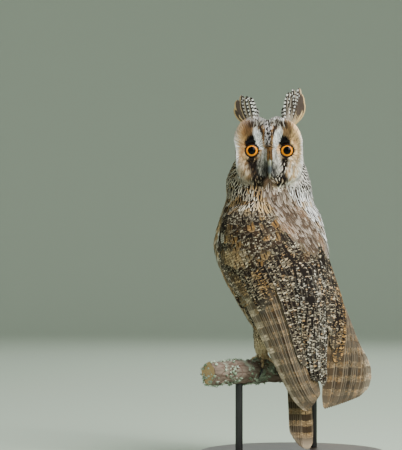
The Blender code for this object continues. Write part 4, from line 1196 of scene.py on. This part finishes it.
fair = painted(
    between((200, 198, 190), (112, 108, 98), rng.uniform(0, 1, flank) ** 1.5),
    # painted shade of the mouth: the lower bristles turn dark grey
    ((60, 58, 55), ease(-z0, 0.006, 0.012) * 0.8),
)
rusty = between((126, 92, 50), (48, 36, 24), rng.uniform(0, 1, flank))
ground = np.concatenate([ground, blend_in(fair, rusty, 1.0 * ridge)])
rooms = head_rooms(np.concatenate([roots, path[:, 0]]))
vanes("bill_whiskers", "face_feathers", ("head",), leaves, half, 0.00018, ground, ground * 0.5,
      (0.2, 0.0, 0.0), (0.1, 0.0, 2.0), rooms, face_finish, seed=82)

# Crown, cheeks and back of the head. Short soft feathers lie back from the face and then down, with a
# dark speckled ruff of small round ones standing up along the rim of the discs.


def head_flow(points, normals):
    """Back from the face, and down where the head turns to the nape and the neck."""
    behind = ease(points[:, 1] - FACE_Y, 0.030, 0.060)
    low = 1 - ease(points[:, 2], 0.312, 0.335)
    crest = ease(points[:, 2] - HEAD_HEIGHT, 0.026, 0.034) * (1 - behind)
    back, up = 1.0 - 0.8 * behind - 0.5 * low, -0.15 - 1.2 * behind - 1.0 * low + 0.3 * crest
    return unit(np.stack([(points[:, 0] - HEAD_X) / 0.04 * 0.5, back, up], 1))


def on_head(points, normals):
    front = (normals[:, 1] < -0.1) * (points[:, 1] < FACE_Y + 0.020)
    return np.where(front, face_place(points)[2] > 0.975, True) * ease(points[:, 2], 0.303, 0.308)


def ruff_share(points):
    """The rim of the discs, less of it above them."""
    _, z, reach = face_place(points)
    near = (1 - ease(points[:, 1] - FACE_Y, 0.008, 0.016)) * (1 - ease(reach, 1.10, 1.2))
    return near * (1 - 0.75 * ease(z, 22, 32))


def cheek_share(points):
    """Below the crown and behind the ruff the feathers grow larger, towards those of the neck."""
    return (1 - ease(points[:, 2] - HEAD_HEIGHT, -0.006, 0.012)) * (1 - ruff_share(points))


def head_spacing(points, normals):
    return 0.0017 - 0.0004 * ruff_share(points) + 0.0012 * cheek_share(points)


roots, root_normals = scattered(on_head, head_spacing, 46)
rng = np.random.default_rng(47)
count = len(roots)
x, z, reach = face_place(roots)
ruff, cheek, crest = ruff_share(roots), cheek_share(roots), ease(z, 22, 30)
length = (0.0068 - 0.0028 * ruff + 0.0040 * cheek) * rng.uniform(0.85, 1.15, count)
lift = 0.0016 + 0.0006 * ruff + 0.0004 * rng.uniform(0, 1, count)
lift += 0.0022 * crest * np.exp(-(((np.abs(x + 1.8) - 10) / 5.5) ** 2))
lift -= 0.0010 * crest * np.exp(-(((x + 1.8) / 3.5) ** 2))
picked = rng.uniform(0, 1, (3, count))
leaves, share = laid(roots, root_normals, head_flow, length, lift, 3)
half = outline(share, 0.00125 - 0.0003 * ruff + 0.0011 * cheek, 0.7, 0.6)
on_rim = 1 - ease(np.abs(reach - 1.03), 0.015, 0.035)
ground = painted(
    between((190, 164, 124), (222, 212, 190), ease(picked[0], 0.25, 0.5)),
    # the far side is whiter, partly its own colour and partly painted light
    ((246, 243, 236), 0.85 * ease(x, 5, 20)),
    (between((238, 235, 229), (120, 110, 100), ease(picked[1], 0.45, 0.8)), crest * 0.9),
    (between((236, 232, 224), (30, 23, 18), ease(picked[1] + 0.8 * on_rim, 0.6, 0.75)), ruff),
)
streak = 0.30 - 0.14 * ruff + 0.15 * picked[2] + 0.6 * cheek
pattern = np.stack([streak, 0.2 * crest, 0.3 + 0.4 * crest - 0.25 * cheek], 1)
vanes("head_coat", "face_feathers", ("head",), leaves, half, 0.0002, ground, shade(34, 27, 21),
      pattern, (0.3, 0.1, 2.2), head_rooms(roots), coat_finish, seed=50)

# Ear tufts. Tall narrow feathers stand in a bunch over each disc, black along the middle, with a buff
# or grey outer web, and an inner web dotted with white.
# feathers: root and tip across and up from the middle of the face, half width, bow sideways
TUFT_LEFT = (
    (0.0215, 0.0350, 0.0215, 0.0640, 0.0040, -0.0015),
    (0.0235, 0.0350, 0.0265, 0.0675, 0.0046, 0.0010),
    (0.0255, 0.0345, 0.0325, 0.0690, 0.0050, 0.0030),
    (0.0275, 0.0335, 0.0350, 0.0625, 0.0050, 0.0040),
    (0.0285, 0.0325, 0.0372, 0.0545, 0.0045, 0.0036),
    (0.0190, 0.0350, 0.0165, 0.0490, 0.0036, -0.0010),
)
TUFT_RIGHT = (
    (-0.0185, 0.0350, -0.0205, 0.0585, 0.0042, 0.0010),
    (-0.0205, 0.0350, -0.0245, 0.0600, 0.0046, -0.0010),
    (-0.0225, 0.0345, -0.0300, 0.0612, 0.0050, -0.0025),
    (-0.0250, 0.0335, -0.0345, 0.0560, 0.0050, -0.0035),
    (-0.0270, 0.0325, -0.0365, 0.0480, 0.0045, -0.0030),
    (-0.0165, 0.0350, -0.0145, 0.0480, 0.0036, 0.0010),
)


def tuft_finish():
    """Tuft feathers: a black middle, an outer web in the ground colour and an inner one with white dots."""
    finish = finish_of("tuft_vanes", rough=0.7)
    tree = finish.node_tree
    inner_side, dotted, based = parts(stored(tree, "pattern"))
    across, along, seed = parts(stored(tree, "vane"))
    barb = stored(tree, "barb")
    ragged = noise(barb, 1.1) * 0.5 - 0.25
    # -1 on the outer web and 1 on the inner one, and the outer web's colour covers the feather's foot
    web = across * inner_side + ragged
    low = 1.0 - step_between(ragged * 0.2 + along - based, -0.08, 0.08)
    outer = calc("MAXIMUM", 1.0 - step_between(web, -0.55, -0.25), low * 0.8)
    rows = calc("SINE", parts(barb)[1] * 1.6 + seed * 6.0 + ragged * 9.0)
    dots = step_between(web, 0.08, 0.25) * step_between(rows, -0.25, 0.25) * dotted
    colour = mixed(outer, stored(tree, "mark", "Color"), stored(tree, "ground", "Color"))
    return covered(finish, lit(mixed(dots, colour, (0.78, 0.77, 0.72, 1)), seed * 0.3 + 0.85))


tuft_vanes = tuft_finish()
for label, table, side, seed in (("left", TUFT_LEFT, 1, 51), ("right", TUFT_RIGHT, -1, 52)):
    rng = np.random.default_rng(seed)
    # every feather of the table grows with two slimmer ones beside it
    rows = np.repeat(np.array(table), 3, axis=0)
    place = np.repeat(np.arange(len(table)), 3)
    beside = np.tile([0.0, -1.0, 1.0], len(table))
    count = len(rows)
    order = place + 0.3 * beside
    reach = np.where(beside == 0, 1.0, rng.uniform(0.80, 0.96, count))
    root = np.stack([rows[:, 0] + 0.0008 * beside, 0.012 + order * 0.0016, rows[:, 1]], 1)
    tip = np.stack([rows[:, 2] + 0.0022 * beside, 0.008 + order * 0.0019, rows[:, 3]], 1)
    tip = root + (tip - root) * reach[:, None]
    root = root - (tip - root) * 0.22 + np.array([-0.0012 * side, 0.0, 0.0])
    share = np.concatenate([[0], np.linspace(0.04, 0.92, 9), [0.965, 1.0]])
    line = root[:, None] + (tip - root)[:, None] * share[None, :, None]
    line[..., 0] += rows[:, 5:6] * 4 * share * (1 - share)
    line[..., 1] += 0.0035 * share * (1 - share)
    facing = np.tile([0.25 * side, -1.0, 0.0], (count, len(share), 1))
    facing[..., 0] += 0.35 * side * (place / 5)[:, None]
    leaves = faced(line + np.array([HEAD_X, FACE_Y, HEAD_HEIGHT]), facing)
    leaves[1] *= np.sign(leaves[1][..., :1])
    half = outline(share, rows[:, 4] * np.where(beside == 0, 1.0, 0.72) * 0.86, 0.66, 0.55)
    warm = ease(place / 5, 0.1, 0.7) * (place < 5)
    ground = between((150, 140, 126), (206, 176, 128), warm)
    mark = between((34, 28, 24), (86, 74, 66), 0.8 * warm)
    # by feather: how strongly its inner web is dotted, and how far up its foot is covered
    webs = ((1.0, 0.30), (1.0, 0.30), (0.6, 0.20), (0.0, 0.20), (0.0, 0.20), (1.0, 0.46))
    dotted, based = np.array(webs)[place].T
    pattern = np.stack([np.full(count, -float(side)), dotted, based], 1)
    rooms = strips((0.25 if side > 0 else 0.75) + 0.44 * ((np.arange(count) + 0.5) / count - 0.5), 0.022, 0.9)
    vanes(f"ear_tuft_feathers_{label}", "ear_tuft_feathers", (f"ear_tuft_{label}",), leaves, half, 0.0004,
          ground, mark, pattern, (0.0, 0.0, 0.0), rooms, tuft_vanes, columns=5, seed=seed)

# Eyes. Glassy orange balls with a round black pupil and a darker rim to the iris sit in lids of black
# skin, and the fringes round them hide the lids' outer edge.
EYE_RADIUS, PUPIL, IRIS = 0.0100, 0.0043, 0.0066
LID_REACH, LID_THICKNESS = 0.0069, 0.0008


def place_of(tree):
    """Places on a piece, in metres from the middle of the scene."""
    return knot("ShaderNodeTexCoord", out="Object", tree=tree)


def eye_finish(middle):
    """The eyeball: pupil, iris with fine rays and painted shade over its upper part, and a dark rim, by the
    distance from its own axis and its height.
    """
    finish = finish_of("eye_glass", rough=0.12, specular=0.0, coat=0.22)
    place = knot("ShaderNodeMapping", {0: place_of(finish.node_tree), 1: tuple(-c for c in middle)})
    x, _, z = parts(place)
    away = calc("SQRT", x * x + z * z)
    rays = noise(joined(calc("ARCTAN2", z, x) * 9.0, away * 160.0), 1.4)
    iris = mixed(rays, (0.72, 0.19, 0.0, 1), (1.0, 0.36, 0.0, 1))
    # painted shade darkens the upper part of the iris
    iris = mixed(step_between(z, 0.0010, 0.0075) * 0.45, iris, (0.46, 0.10, 0.0, 1))
    iris = mixed(step_between(away, IRIS - 0.0006, IRIS + 0.0001), iris, (0.05, 0.012, 0.002, 1))
    pupil = 1.0 - step_between(away, PUPIL - 0.0001, PUPIL + 0.0002)
    return covered(finish, mixed(pupil, iris, (0.002, 0.002, 0.002, 1)))


def around(middle, reach, fore, turn):
    """Places round an eye's axis of sight, at a distance from it and forward of the eye's middle."""
    reach, fore, turn = np.broadcast_arrays(reach, fore, turn)
    return np.asarray(middle) + np.stack([reach * np.cos(turn), -fore, reach * np.sin(turn)], -1)


def eyeball(middle, rings=20, spokes=40):
    """A ball of rings about the axis of sight, closed at its two poles."""
    polar = (math.pi * np.arange(1, rings) / rings)[:, None]
    turn = 2 * math.pi * np.arange(spokes) / spokes
    points = around(middle, EYE_RADIUS * np.sin(polar), EYE_RADIUS * np.cos(polar), turn).reshape(-1, 3)
    poles = around(middle, 0.0, np.array([EYE_RADIUS, -EYE_RADIUS]), 0.0)
    last, end = 1 + (rings - 2) * spokes, 1 + (rings - 1) * spokes
    faces = []
    for spoke in range(spokes):
        beside = (spoke + 1) % spokes
        faces += [(0, 1 + spoke, 1 + beside), (last + spoke, end, last + beside)]
        for start in range(1, last, spokes):
            a, b = start + spoke, start + beside
            faces += [(a, a + spokes, b + spokes), (a, b + spokes, b)]
    return np.concatenate([poles[:1], points, poles[1:]]), faces


def eyelids(middle, inner, spokes=48, section=10):
    """A soft ring on the ball, drawn a little lower at the top and out to a point at the inner corner."""
    turn = (2 * math.pi * np.arange(spokes) / spokes)[:, None]
    bend = 2 * math.pi * np.arange(section) / section
    drop = 0.0007 * np.maximum(np.sin(turn), 0) ** 2
    corner = 0.0009 * np.maximum(-inner * np.cos(turn), 0) ** 8
    reach = LID_REACH - drop + corner
    level = np.sqrt(EYE_RADIUS**2 - np.minimum(reach, 0.0096) ** 2) + LID_THICKNESS * np.sin(bend) + 0.0002
    points = around(middle, reach + LID_THICKNESS * np.cos(bend), level, turn).reshape(-1, 3)
    faces = []
    for spoke in range(spokes):
        for step in range(section):
            a, b = spoke * section + step, spoke * section + (step + 1) % section
            c, d = (b + section) % (spokes * section), (a + section) % (spokes * section)
            faces += [(a, b, c), (a, c, d)]
    return points, faces


lid_finish = finish_of("lid_skin", (0.004, 0.0035, 0.003, 1), rough=0.5, specular=0.2)
for label, sign in (("left", 1), ("right", -1)):
    middle = (HEAD_X + sign * EYE_SPACING / 2, FACE_Y + EYE_RADIUS + 0.0008, HEAD_HEIGHT)
    fixed(mesh_piece(f"eyeball_{label}", *eyeball(middle), eye_finish(middle)), "eye", f"eye_{label}")
    fixed(mesh_piece(f"eyelids_{label}", *eyelids(middle, sign), lid_finish), "face_feathers")

# Bill. A hooked upper half of horn closes over a shorter lower one, dark at the sides with a painted
# highlight in grey green along the ridge, and with a slit of mouth between them. Face bristles hide its root.
# rings: depth from the scene's middle, height, half width, half height
BILL_UPPER = (
    (-0.0080, 0.3355, 0.0052, 0.0060),
    (-0.0190, 0.3345, 0.0050, 0.0055),
    (-0.0265, 0.3290, 0.0040, 0.0044),
    (-0.0295, 0.3215, 0.0026, 0.0030),
    (-0.0290, 0.3150, 0.0014, 0.0016),
    (-0.0280, 0.3110, 0.0004, 0.0005),
)
BILL_LOWER = tuple((y, z, wide, wide * 0.62) for y, z, wide in (
    (-0.0080, 0.3245, 0.0044), (-0.0180, 0.3225, 0.0040), (-0.0245, 0.3185, 0.0026), (-0.0268, 0.3150, 0.0006),
))
BILL_TIP = 0.311


def horn_form(rows, power, count=36):
    """A bent horn through oval rings that stand square to its middle line."""
    table = np.asarray(rows)
    t = np.linspace(0, 1, 40)
    run = unit(rows_at(table[:, :2], np.minimum(t + 0.01, 1)) - rows_at(table[:, :2], np.maximum(t - 0.01, 0)))
    turn = np.linspace(0, 2 * np.pi, count, endpoint=False)
    c, s = (np.sign(v) * np.abs(v) ** (2 / power) for v in (np.cos(turn), np.sin(turn)))
    rings = [
        np.stack([HEAD_X + wide * c, y - high * s * run_z, z + high * s * run_y], 1)
        for (y, z, wide, high), (run_y, run_z) in zip(rows_at(table, t), run)
    ]
    return closed_loft(rings)


def horn_finish():
    """Bill horn, with a painted highlight that makes its ridge paler near the root, paler at its tip, and with
    fine grooves along it.
    """
    finish = finish_of("bill_horn", rough=0.30, specular=0.5)
    place = place_of(finish.node_tree)
    x, _, z = parts(place)
    grooves = noise(place, 420.0, 3.0)
    flank = step_between(abs(x - HEAD_X) + grooves * 0.0008, 0.0016, 0.0034)
    # painted highlight: the ridge's upper part is pale grey green, slate below it
    ridge = mixed(step_between(z, 0.3225, 0.3285), (66, 71, 75), (108, 108, 84))
    near_tip = 1.0 - step_between(z, BILL_TIP + 0.0020, BILL_TIP + 0.0070)
    colour = mixed(near_tip * 0.8, mixed(flank, ridge, (32, 32, 31)), (150, 146, 124))
    return covered(finish, colour, grooves, 0.15, 0.0002)


def settle_normals(piece):
    """Turn a closed piece's faces outwards."""
    form = bmesh.new()
    form.from_mesh(piece.data)
    bmesh.ops.recalc_face_normals(form, faces=form.faces)
    form.to_mesh(piece.data)
    form.free()


bill_finish = horn_finish()
for label, rows, power in (("bill_upper", BILL_UPPER, 1.8), ("bill_lower", BILL_LOWER, 2.0)):
    points, faces = horn_form(rows, power)
    if label == "bill_upper":
        # the nostrils are shallow pits on each side near the root
        for sign in (-1, 1):
            pit = np.array([HEAD_X + sign * 0.0042, FACE_Y - 0.0035, 0.3335])
            points[:, 0] -= sign * 0.0009 * np.exp(-(np.linalg.norm(points - pit, axis=1) / 0.0011) ** 2)
    half_bill = mesh_piece(f"{label}_horn", points, faces, bill_finish)
    settle_normals(half_bill)
    fixed(half_bill, "bill_horn", label)

# Legs and claws. Short buff white feathers cover legs and toes down to the claws, and the claws are
# black horn, the solids as they are.


def leg_flow(points, normals):
    """Down the legs, and along the toes to both sides of the branch."""
    _, back, up = owl_frame(points)
    toes = 1 - ease(up, 0.118, 0.126)
    way = np.tile([0.0, 0.0, -1.0], (len(points), 1)) * (1 - 0.35 * toes)[:, None]
    return unit(way + heading(0.0, 1.0, 0.0) * (np.sign(back) * toes * 1.1)[:, None])


def on_legs(points, normals):
    return 1 - ease(points[:, 2], 0.132, 0.138)


def refinish(node, finish):
    """Give a solid that shows as it is its finish."""
    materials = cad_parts[node].data.materials
    materials.clear()
    materials.append(finish)


roots, root_normals = scattered(on_legs, even(0.0017), 61)
rng = np.random.default_rng(62)
count = len(roots)
length, lift = rng.uniform(0.0045, 0.0065, count), rng.uniform(0.0006, 0.0013, count)
leaves, share = laid(roots, root_normals, leg_flow, length, lift, 3)
vanes("leg_feathers", "leg_feathers", ("leg_left", "leg_right", "foot_left", "foot_right"), leaves,
      outline(share, np.full(count, 0.0011), 0.7, 0.6), 0.0002,
      between((222, 200, 162), (196, 158, 108), rng.uniform(0, 0.6, count)), shade(110, 84, 56),
      (0.10, 0.0, 0.08), (0.3, 0.0, 2.0), unwrapped(roots, (BODY_X, BODY_Y), 0.08, 0.15), coat_finish, seed=63)
claw_finish = finish_of("claw_horn", (0.012, 0.011, 0.010, 1), rough=0.28, specular=0.5)
for foot in ("left", "right"):
    for toe in range(1, 5):
        refinish(f"claw_{foot}_{toe}", claw_finish)

# Perch. A length of conifer branch in rough bark lies square to the owl's body, sawn off at both ends
# and with the stubs of four small knots.
PERCH_LEFT, PERCH_RIGHT, PERCH_HEIGHT, PERCH_RADIUS = -0.094, 0.112, 0.100, 0.013
# knots: place along the branch, turn about it, height
KNOTS = ((-0.071, 1.0, 0.0022), (0.052, 2.4, 0.0026), (0.088, 0.4, 0.002), (-0.02, 4.2, 0.002))


def along_branch(place, stretch=1.0):
    """Places counted along the branch and about its middle line."""
    turned_back = {0: place, 1: (BODY_X, BODY_Y, PERCH_HEIGHT), 2: (0, 0, BODY_TURN), 3: (stretch, 1.0, 1.0)}
    return knot("ShaderNodeMapping", turned_back, vector_type="TEXTURE")


def bark_finish():
    """Bark in long plates, grey brown with rusty cracks and a pale dust of lichen."""
    finish = finish_of("bark", rough=0.9)
    place = place_of(finish.node_tree)
    drawn = along_branch(place, 2.8)
    plates = knot(
        "ShaderNodeTexVoronoi", {"Vector": drawn, "Scale": 170.0}, "Distance", feature="DISTANCE_TO_EDGE"
    )
    rough = noise(drawn, 210.0, 6.0)
    colour = mixed(rough, (84, 70, 60), (150, 134, 120))
    colour = mixed((1.0 - step_between(plates, 0.0, 0.07)) * 0.55, colour, (76, 46, 34))
    colour = mixed(step_between(noise(place, 60.0, 5.0), 0.52, 0.66) * 0.75, colour, (158, 172, 152))
    return covered(finish, colour, step_between(plates, 0.0, 0.12) * 0.6 + rough, 0.8, 0.0009)


def sawn_finish():
    """Sawn wood with growth rings about the branch's middle."""
    finish = finish_of("sawn_wood", rough=0.8)
    place = along_branch(place_of(finish.node_tree))
    _, y, z = parts(place)
    away = calc("SQRT", y * y + z * z) + noise(place, 90.0, 3.0) * 0.0016
    ring = calc("SINE", away * 5200.0)
    return covered(finish, mixed(step_between(ring, -0.4, 0.9), (206, 178, 136), (160, 122, 84)))


spokes, steps = 72, 150
turn = np.linspace(0, 2 * np.pi, spokes, endpoint=False)
along, round_y, round_z = np.broadcast_arrays(
    PERCH_LEFT + (PERCH_RIGHT - PERCH_LEFT) * np.linspace(0, 1, steps)[:, None], np.cos(turn), np.sin(turn)
)
probe = np.stack([along * 0.4, round_y * PERCH_RADIUS, round_z * PERCH_RADIUS], -1).reshape(-1, 3)
bumps = (wander(probe, 0.0045, 71) - 0.5) * 0.0009 + (wander(probe, 0.012, 72) - 0.5) * 0.0016
radius = PERCH_RADIUS - 0.0004 + bumps.reshape(steps, spokes)
for knot_place, knot_turn, high in KNOTS:
    apart = np.angle(np.exp(1j * (turn[None] - knot_turn)))
    radius = radius + high * np.exp(-(((along - knot_place) / 0.006) ** 2) - (apart / 0.4) ** 2)
radius[[0, -1]] -= 0.0007
points, faces = closed_loft(bird(along, round_y * radius, PERCH_HEIGHT + round_z * radius))
perch = mesh_piece("perch_bark", points, faces, bark_finish())
perch.data.materials.append(sawn_finish())
for polygon in perch.data.polygons[len(faces) - 2 * spokes:]:
    polygon.material_index = 1
    polygon.use_smooth = False
settle_normals(perch)
fixed(perch, "bark", "perch")

# Lichen. It grows in small curled lobes, pale grey green with a chalky bloom, in patches all over the
# branch's bark.
LOBE_POINTS = 10


def lichen_finish():
    """Lichen, with painted shade that darkens its hollows."""
    finish = finish_of("lichen", rough=0.95, sheen=0.2)
    hollows = noise(place_of(finish.node_tree), 140.0, 4.0)
    # painted shade: the hollows of the relief are darker
    colour = mixed(step_between(hollows, 0.35, 0.65), (126, 146, 118), (192, 206, 184))
    return covered(finish, colour, hollows, 0.6, 0.0004)


def lichen_tree(lobe, finish):
    """Nodes that grow lobes on the branch, with named inputs for how many and how big."""
    group = bpy.data.node_groups.new("lichen_growth", "GeometryNodeTree")
    group.interface.new_socket("Branch", in_out="INPUT", socket_type="NodeSocketGeometry")
    for label, value in (("Lobes per square metre", 52000.0), ("Smallest", 0.5), ("Largest", 1.25)):
        group.interface.new_socket(label, in_out="INPUT", socket_type="NodeSocketFloat").default_value = value
    group.interface.new_socket("Lichen", in_out="OUTPUT", socket_type="NodeSocketGeometry")
    given = group.nodes.new("NodeGroupInput").outputs
    branch, number, smallest, largest = (Wire(group, socket) for socket in given[:4])
    cover = step_between(knot("ShaderNodeTexNoise", {"Scale": 42.0}, tree=group), 0.40, 0.56)
    spots = knot(
        "GeometryNodeDistributePointsOnFaces", {"Mesh": branch, "Density": cover * number, "Seed": 5}, "Points"
    )
    model = knot("GeometryNodeObjectInfo", {"Object": lobe, "As Instance": True}, "Geometry", group)
    size = knot("FunctionNodeRandomValue", {2: smallest, 3: largest, "Seed": 6}, 1)
    grown = knot("GeometryNodeInstanceOnPoints", {
        "Points": spots, "Rotation": spots.beside("Rotation"), "Instance": model, "Scale": size,
    })
    turns = {0: (-0.5, -0.5, -3.14), 1: (0.5, 0.5, 3.14), "Seed": 7}
    turn_by = knot("FunctionNodeRandomValue", turns, tree=group, data_type="FLOAT_VECTOR")
    spun = knot("GeometryNodeRotateInstances", {"Instances": grown, "Rotation": turn_by})
    dressed = knot("GeometryNodeSetMaterial", {
        0: knot("GeometryNodeRealizeInstances", {0: spun}), "Material": finish,
    })
    group.links.new(dressed.socket, group.nodes.new("NodeGroupOutput").inputs[0])
    return group


rng = np.random.default_rng(73)
lobe_points, lobe_faces = [(0, 0, -0.0004)], []
for k in range(LOBE_POINTS):
    turn, beside = 2 * math.pi * k / LOBE_POINTS, (k + 1) % LOBE_POINTS
    far = 0.0022 * (1.0 if k % 2 else 0.55) * rng.uniform(0.85, 1.15)
    lobe_points.append((far * math.cos(turn), far * math.sin(turn), 0.0009 + 0.0008 * (k % 2)))
    lobe_faces += [(0, 1 + beside, 1 + k), (1 + LOBE_POINTS, 1 + k, 1 + beside)]
lobe_points.append((0, 0, 0.0006))
lichen_skin = lichen_finish()
lobe = mesh_piece("lobe", lobe_points, lobe_faces, lichen_skin)
grower = bpy.data.objects.new("grower", perch.data.copy())
bpy.context.scene.collection.objects.link(grower)
growth = grower.modifiers.new("growth", "NODES")
growth.node_group = lichen_tree(lobe, lichen_skin)
for item in growth.node_group.interface.items_tree:
    if item.name == "Lobes per square metre":
        growth[item.identifier] = 60000.0
grown = bpy.data.meshes.new_from_object(grower.evaluated_get(bpy.context.evaluated_depsgraph_get()))
bpy.data.objects.remove(grower)
bpy.data.objects.remove(lobe)
lichen = bpy.data.objects.new("perch_lichen", grown)
bpy.context.scene.collection.objects.link(lichen)
fixed(lichen, "bark")

# Stand. Two dark steel rods carry the branch over a round base of stained wood with a soft edge. The
# rods are let into base and branch, and stay the solids as they are.
BASE_RADIUS, BASE_HEIGHT, BASE_EDGE = 0.103, 0.012, 0.003


def base_finish():
    """Dark stained wood with its grain along the base."""
    finish = finish_of("stained_wood", rough=0.38, specular=0.45)
    drawn = knot("ShaderNodeMapping", {0: place_of(finish.node_tree), 3: (0.12, 1.0, 1.0)})
    grain = noise(drawn, 260.0, 6.0, Distortion=0.6)
    colour = mixed(step_between(grain, 0.38, 0.66), (50, 38, 30), (88, 66, 48))
    colour = mixed(step_between(noise(drawn, 45.0), 0.4, 0.7) * 0.4, colour, (60, 46, 38))
    return covered(finish, colour, grain, 0.12, 0.0003)


def rod_finish():
    """Blackened steel with a faint brushed grain."""
    finish = finish_of("blackened_steel", rough=0.42, metal=0.9)
    drawn = knot("ShaderNodeMapping", {0: place_of(finish.node_tree), 3: (1.0, 1.0, 0.06)})
    return covered(finish, mixed(noise(drawn, 900.0), (0.030, 0.030, 0.032, 1), (0.075, 0.074, 0.074, 1)))


profile = [(0, 0.0), (BASE_RADIUS - 0.0012, 0.0), (BASE_RADIUS - 0.0003, 0.0004), (BASE_RADIUS, 0.0012)]
for step in range(9):
    bend = step / 8 * math.pi / 2
    reach = BASE_RADIUS - BASE_EDGE + BASE_EDGE * math.cos(bend)
    profile.append((reach, BASE_HEIGHT - BASE_EDGE + BASE_EDGE * math.sin(bend)))
profile += [(BASE_RADIUS * 0.6, BASE_HEIGHT), (0, BASE_HEIGHT)]
base = turned("stand_foot", profile, 160, base_finish())
settle_normals(base)
fixed(base, "stand_wood", "stand_base")
rod_metal = rod_finish()
for side in ("left", "right"):
    refinish(f"stand_rod_{side}", rod_metal)

# Skin. One closed surface under all the feathers, lightly downed, carries their colours darkened. Every
# feather's root sits in it, and the eyeballs sit in its two recesses.


def skin_finish():
    """Down over the skin, in the colours of the feathers over it."""
    finish = finish_of("skin_down", rough=0.9)
    tree = finish.node_tree
    down = noise(place_of(tree), 700.0, 3.0)
    return covered(finish, lit(stored(tree, "ground", "Color"), down * 0.8 + 0.6), down, 0.5, 0.0004)


from_eye = np.hypot(np.abs(skin_points[:, 0] - HEAD_X) - EYE_SPACING / 2, skin_points[:, 2] - HEAD_HEIGHT)
skin_ground = plumage(skin_points, skin_normals)[0] * 0.35 * (1 - in_face)[:, None]
skin_ground = skin_ground + face_looks(skin_points) * 0.5 * in_face[:, None]
skin_ground = blend_in(skin_ground, BLACK * 0.4, (1 - ease(from_eye, 0.0105, 0.0120)) * in_face)
skin_piece = mesh_piece("skin", skin_points, skin_faces, skin_finish())
stamp(skin_piece.data, "ground", skin_ground)
fixed(skin_piece, "body_feathers", "torso", "neck", "head", "leg_left", "leg_right")
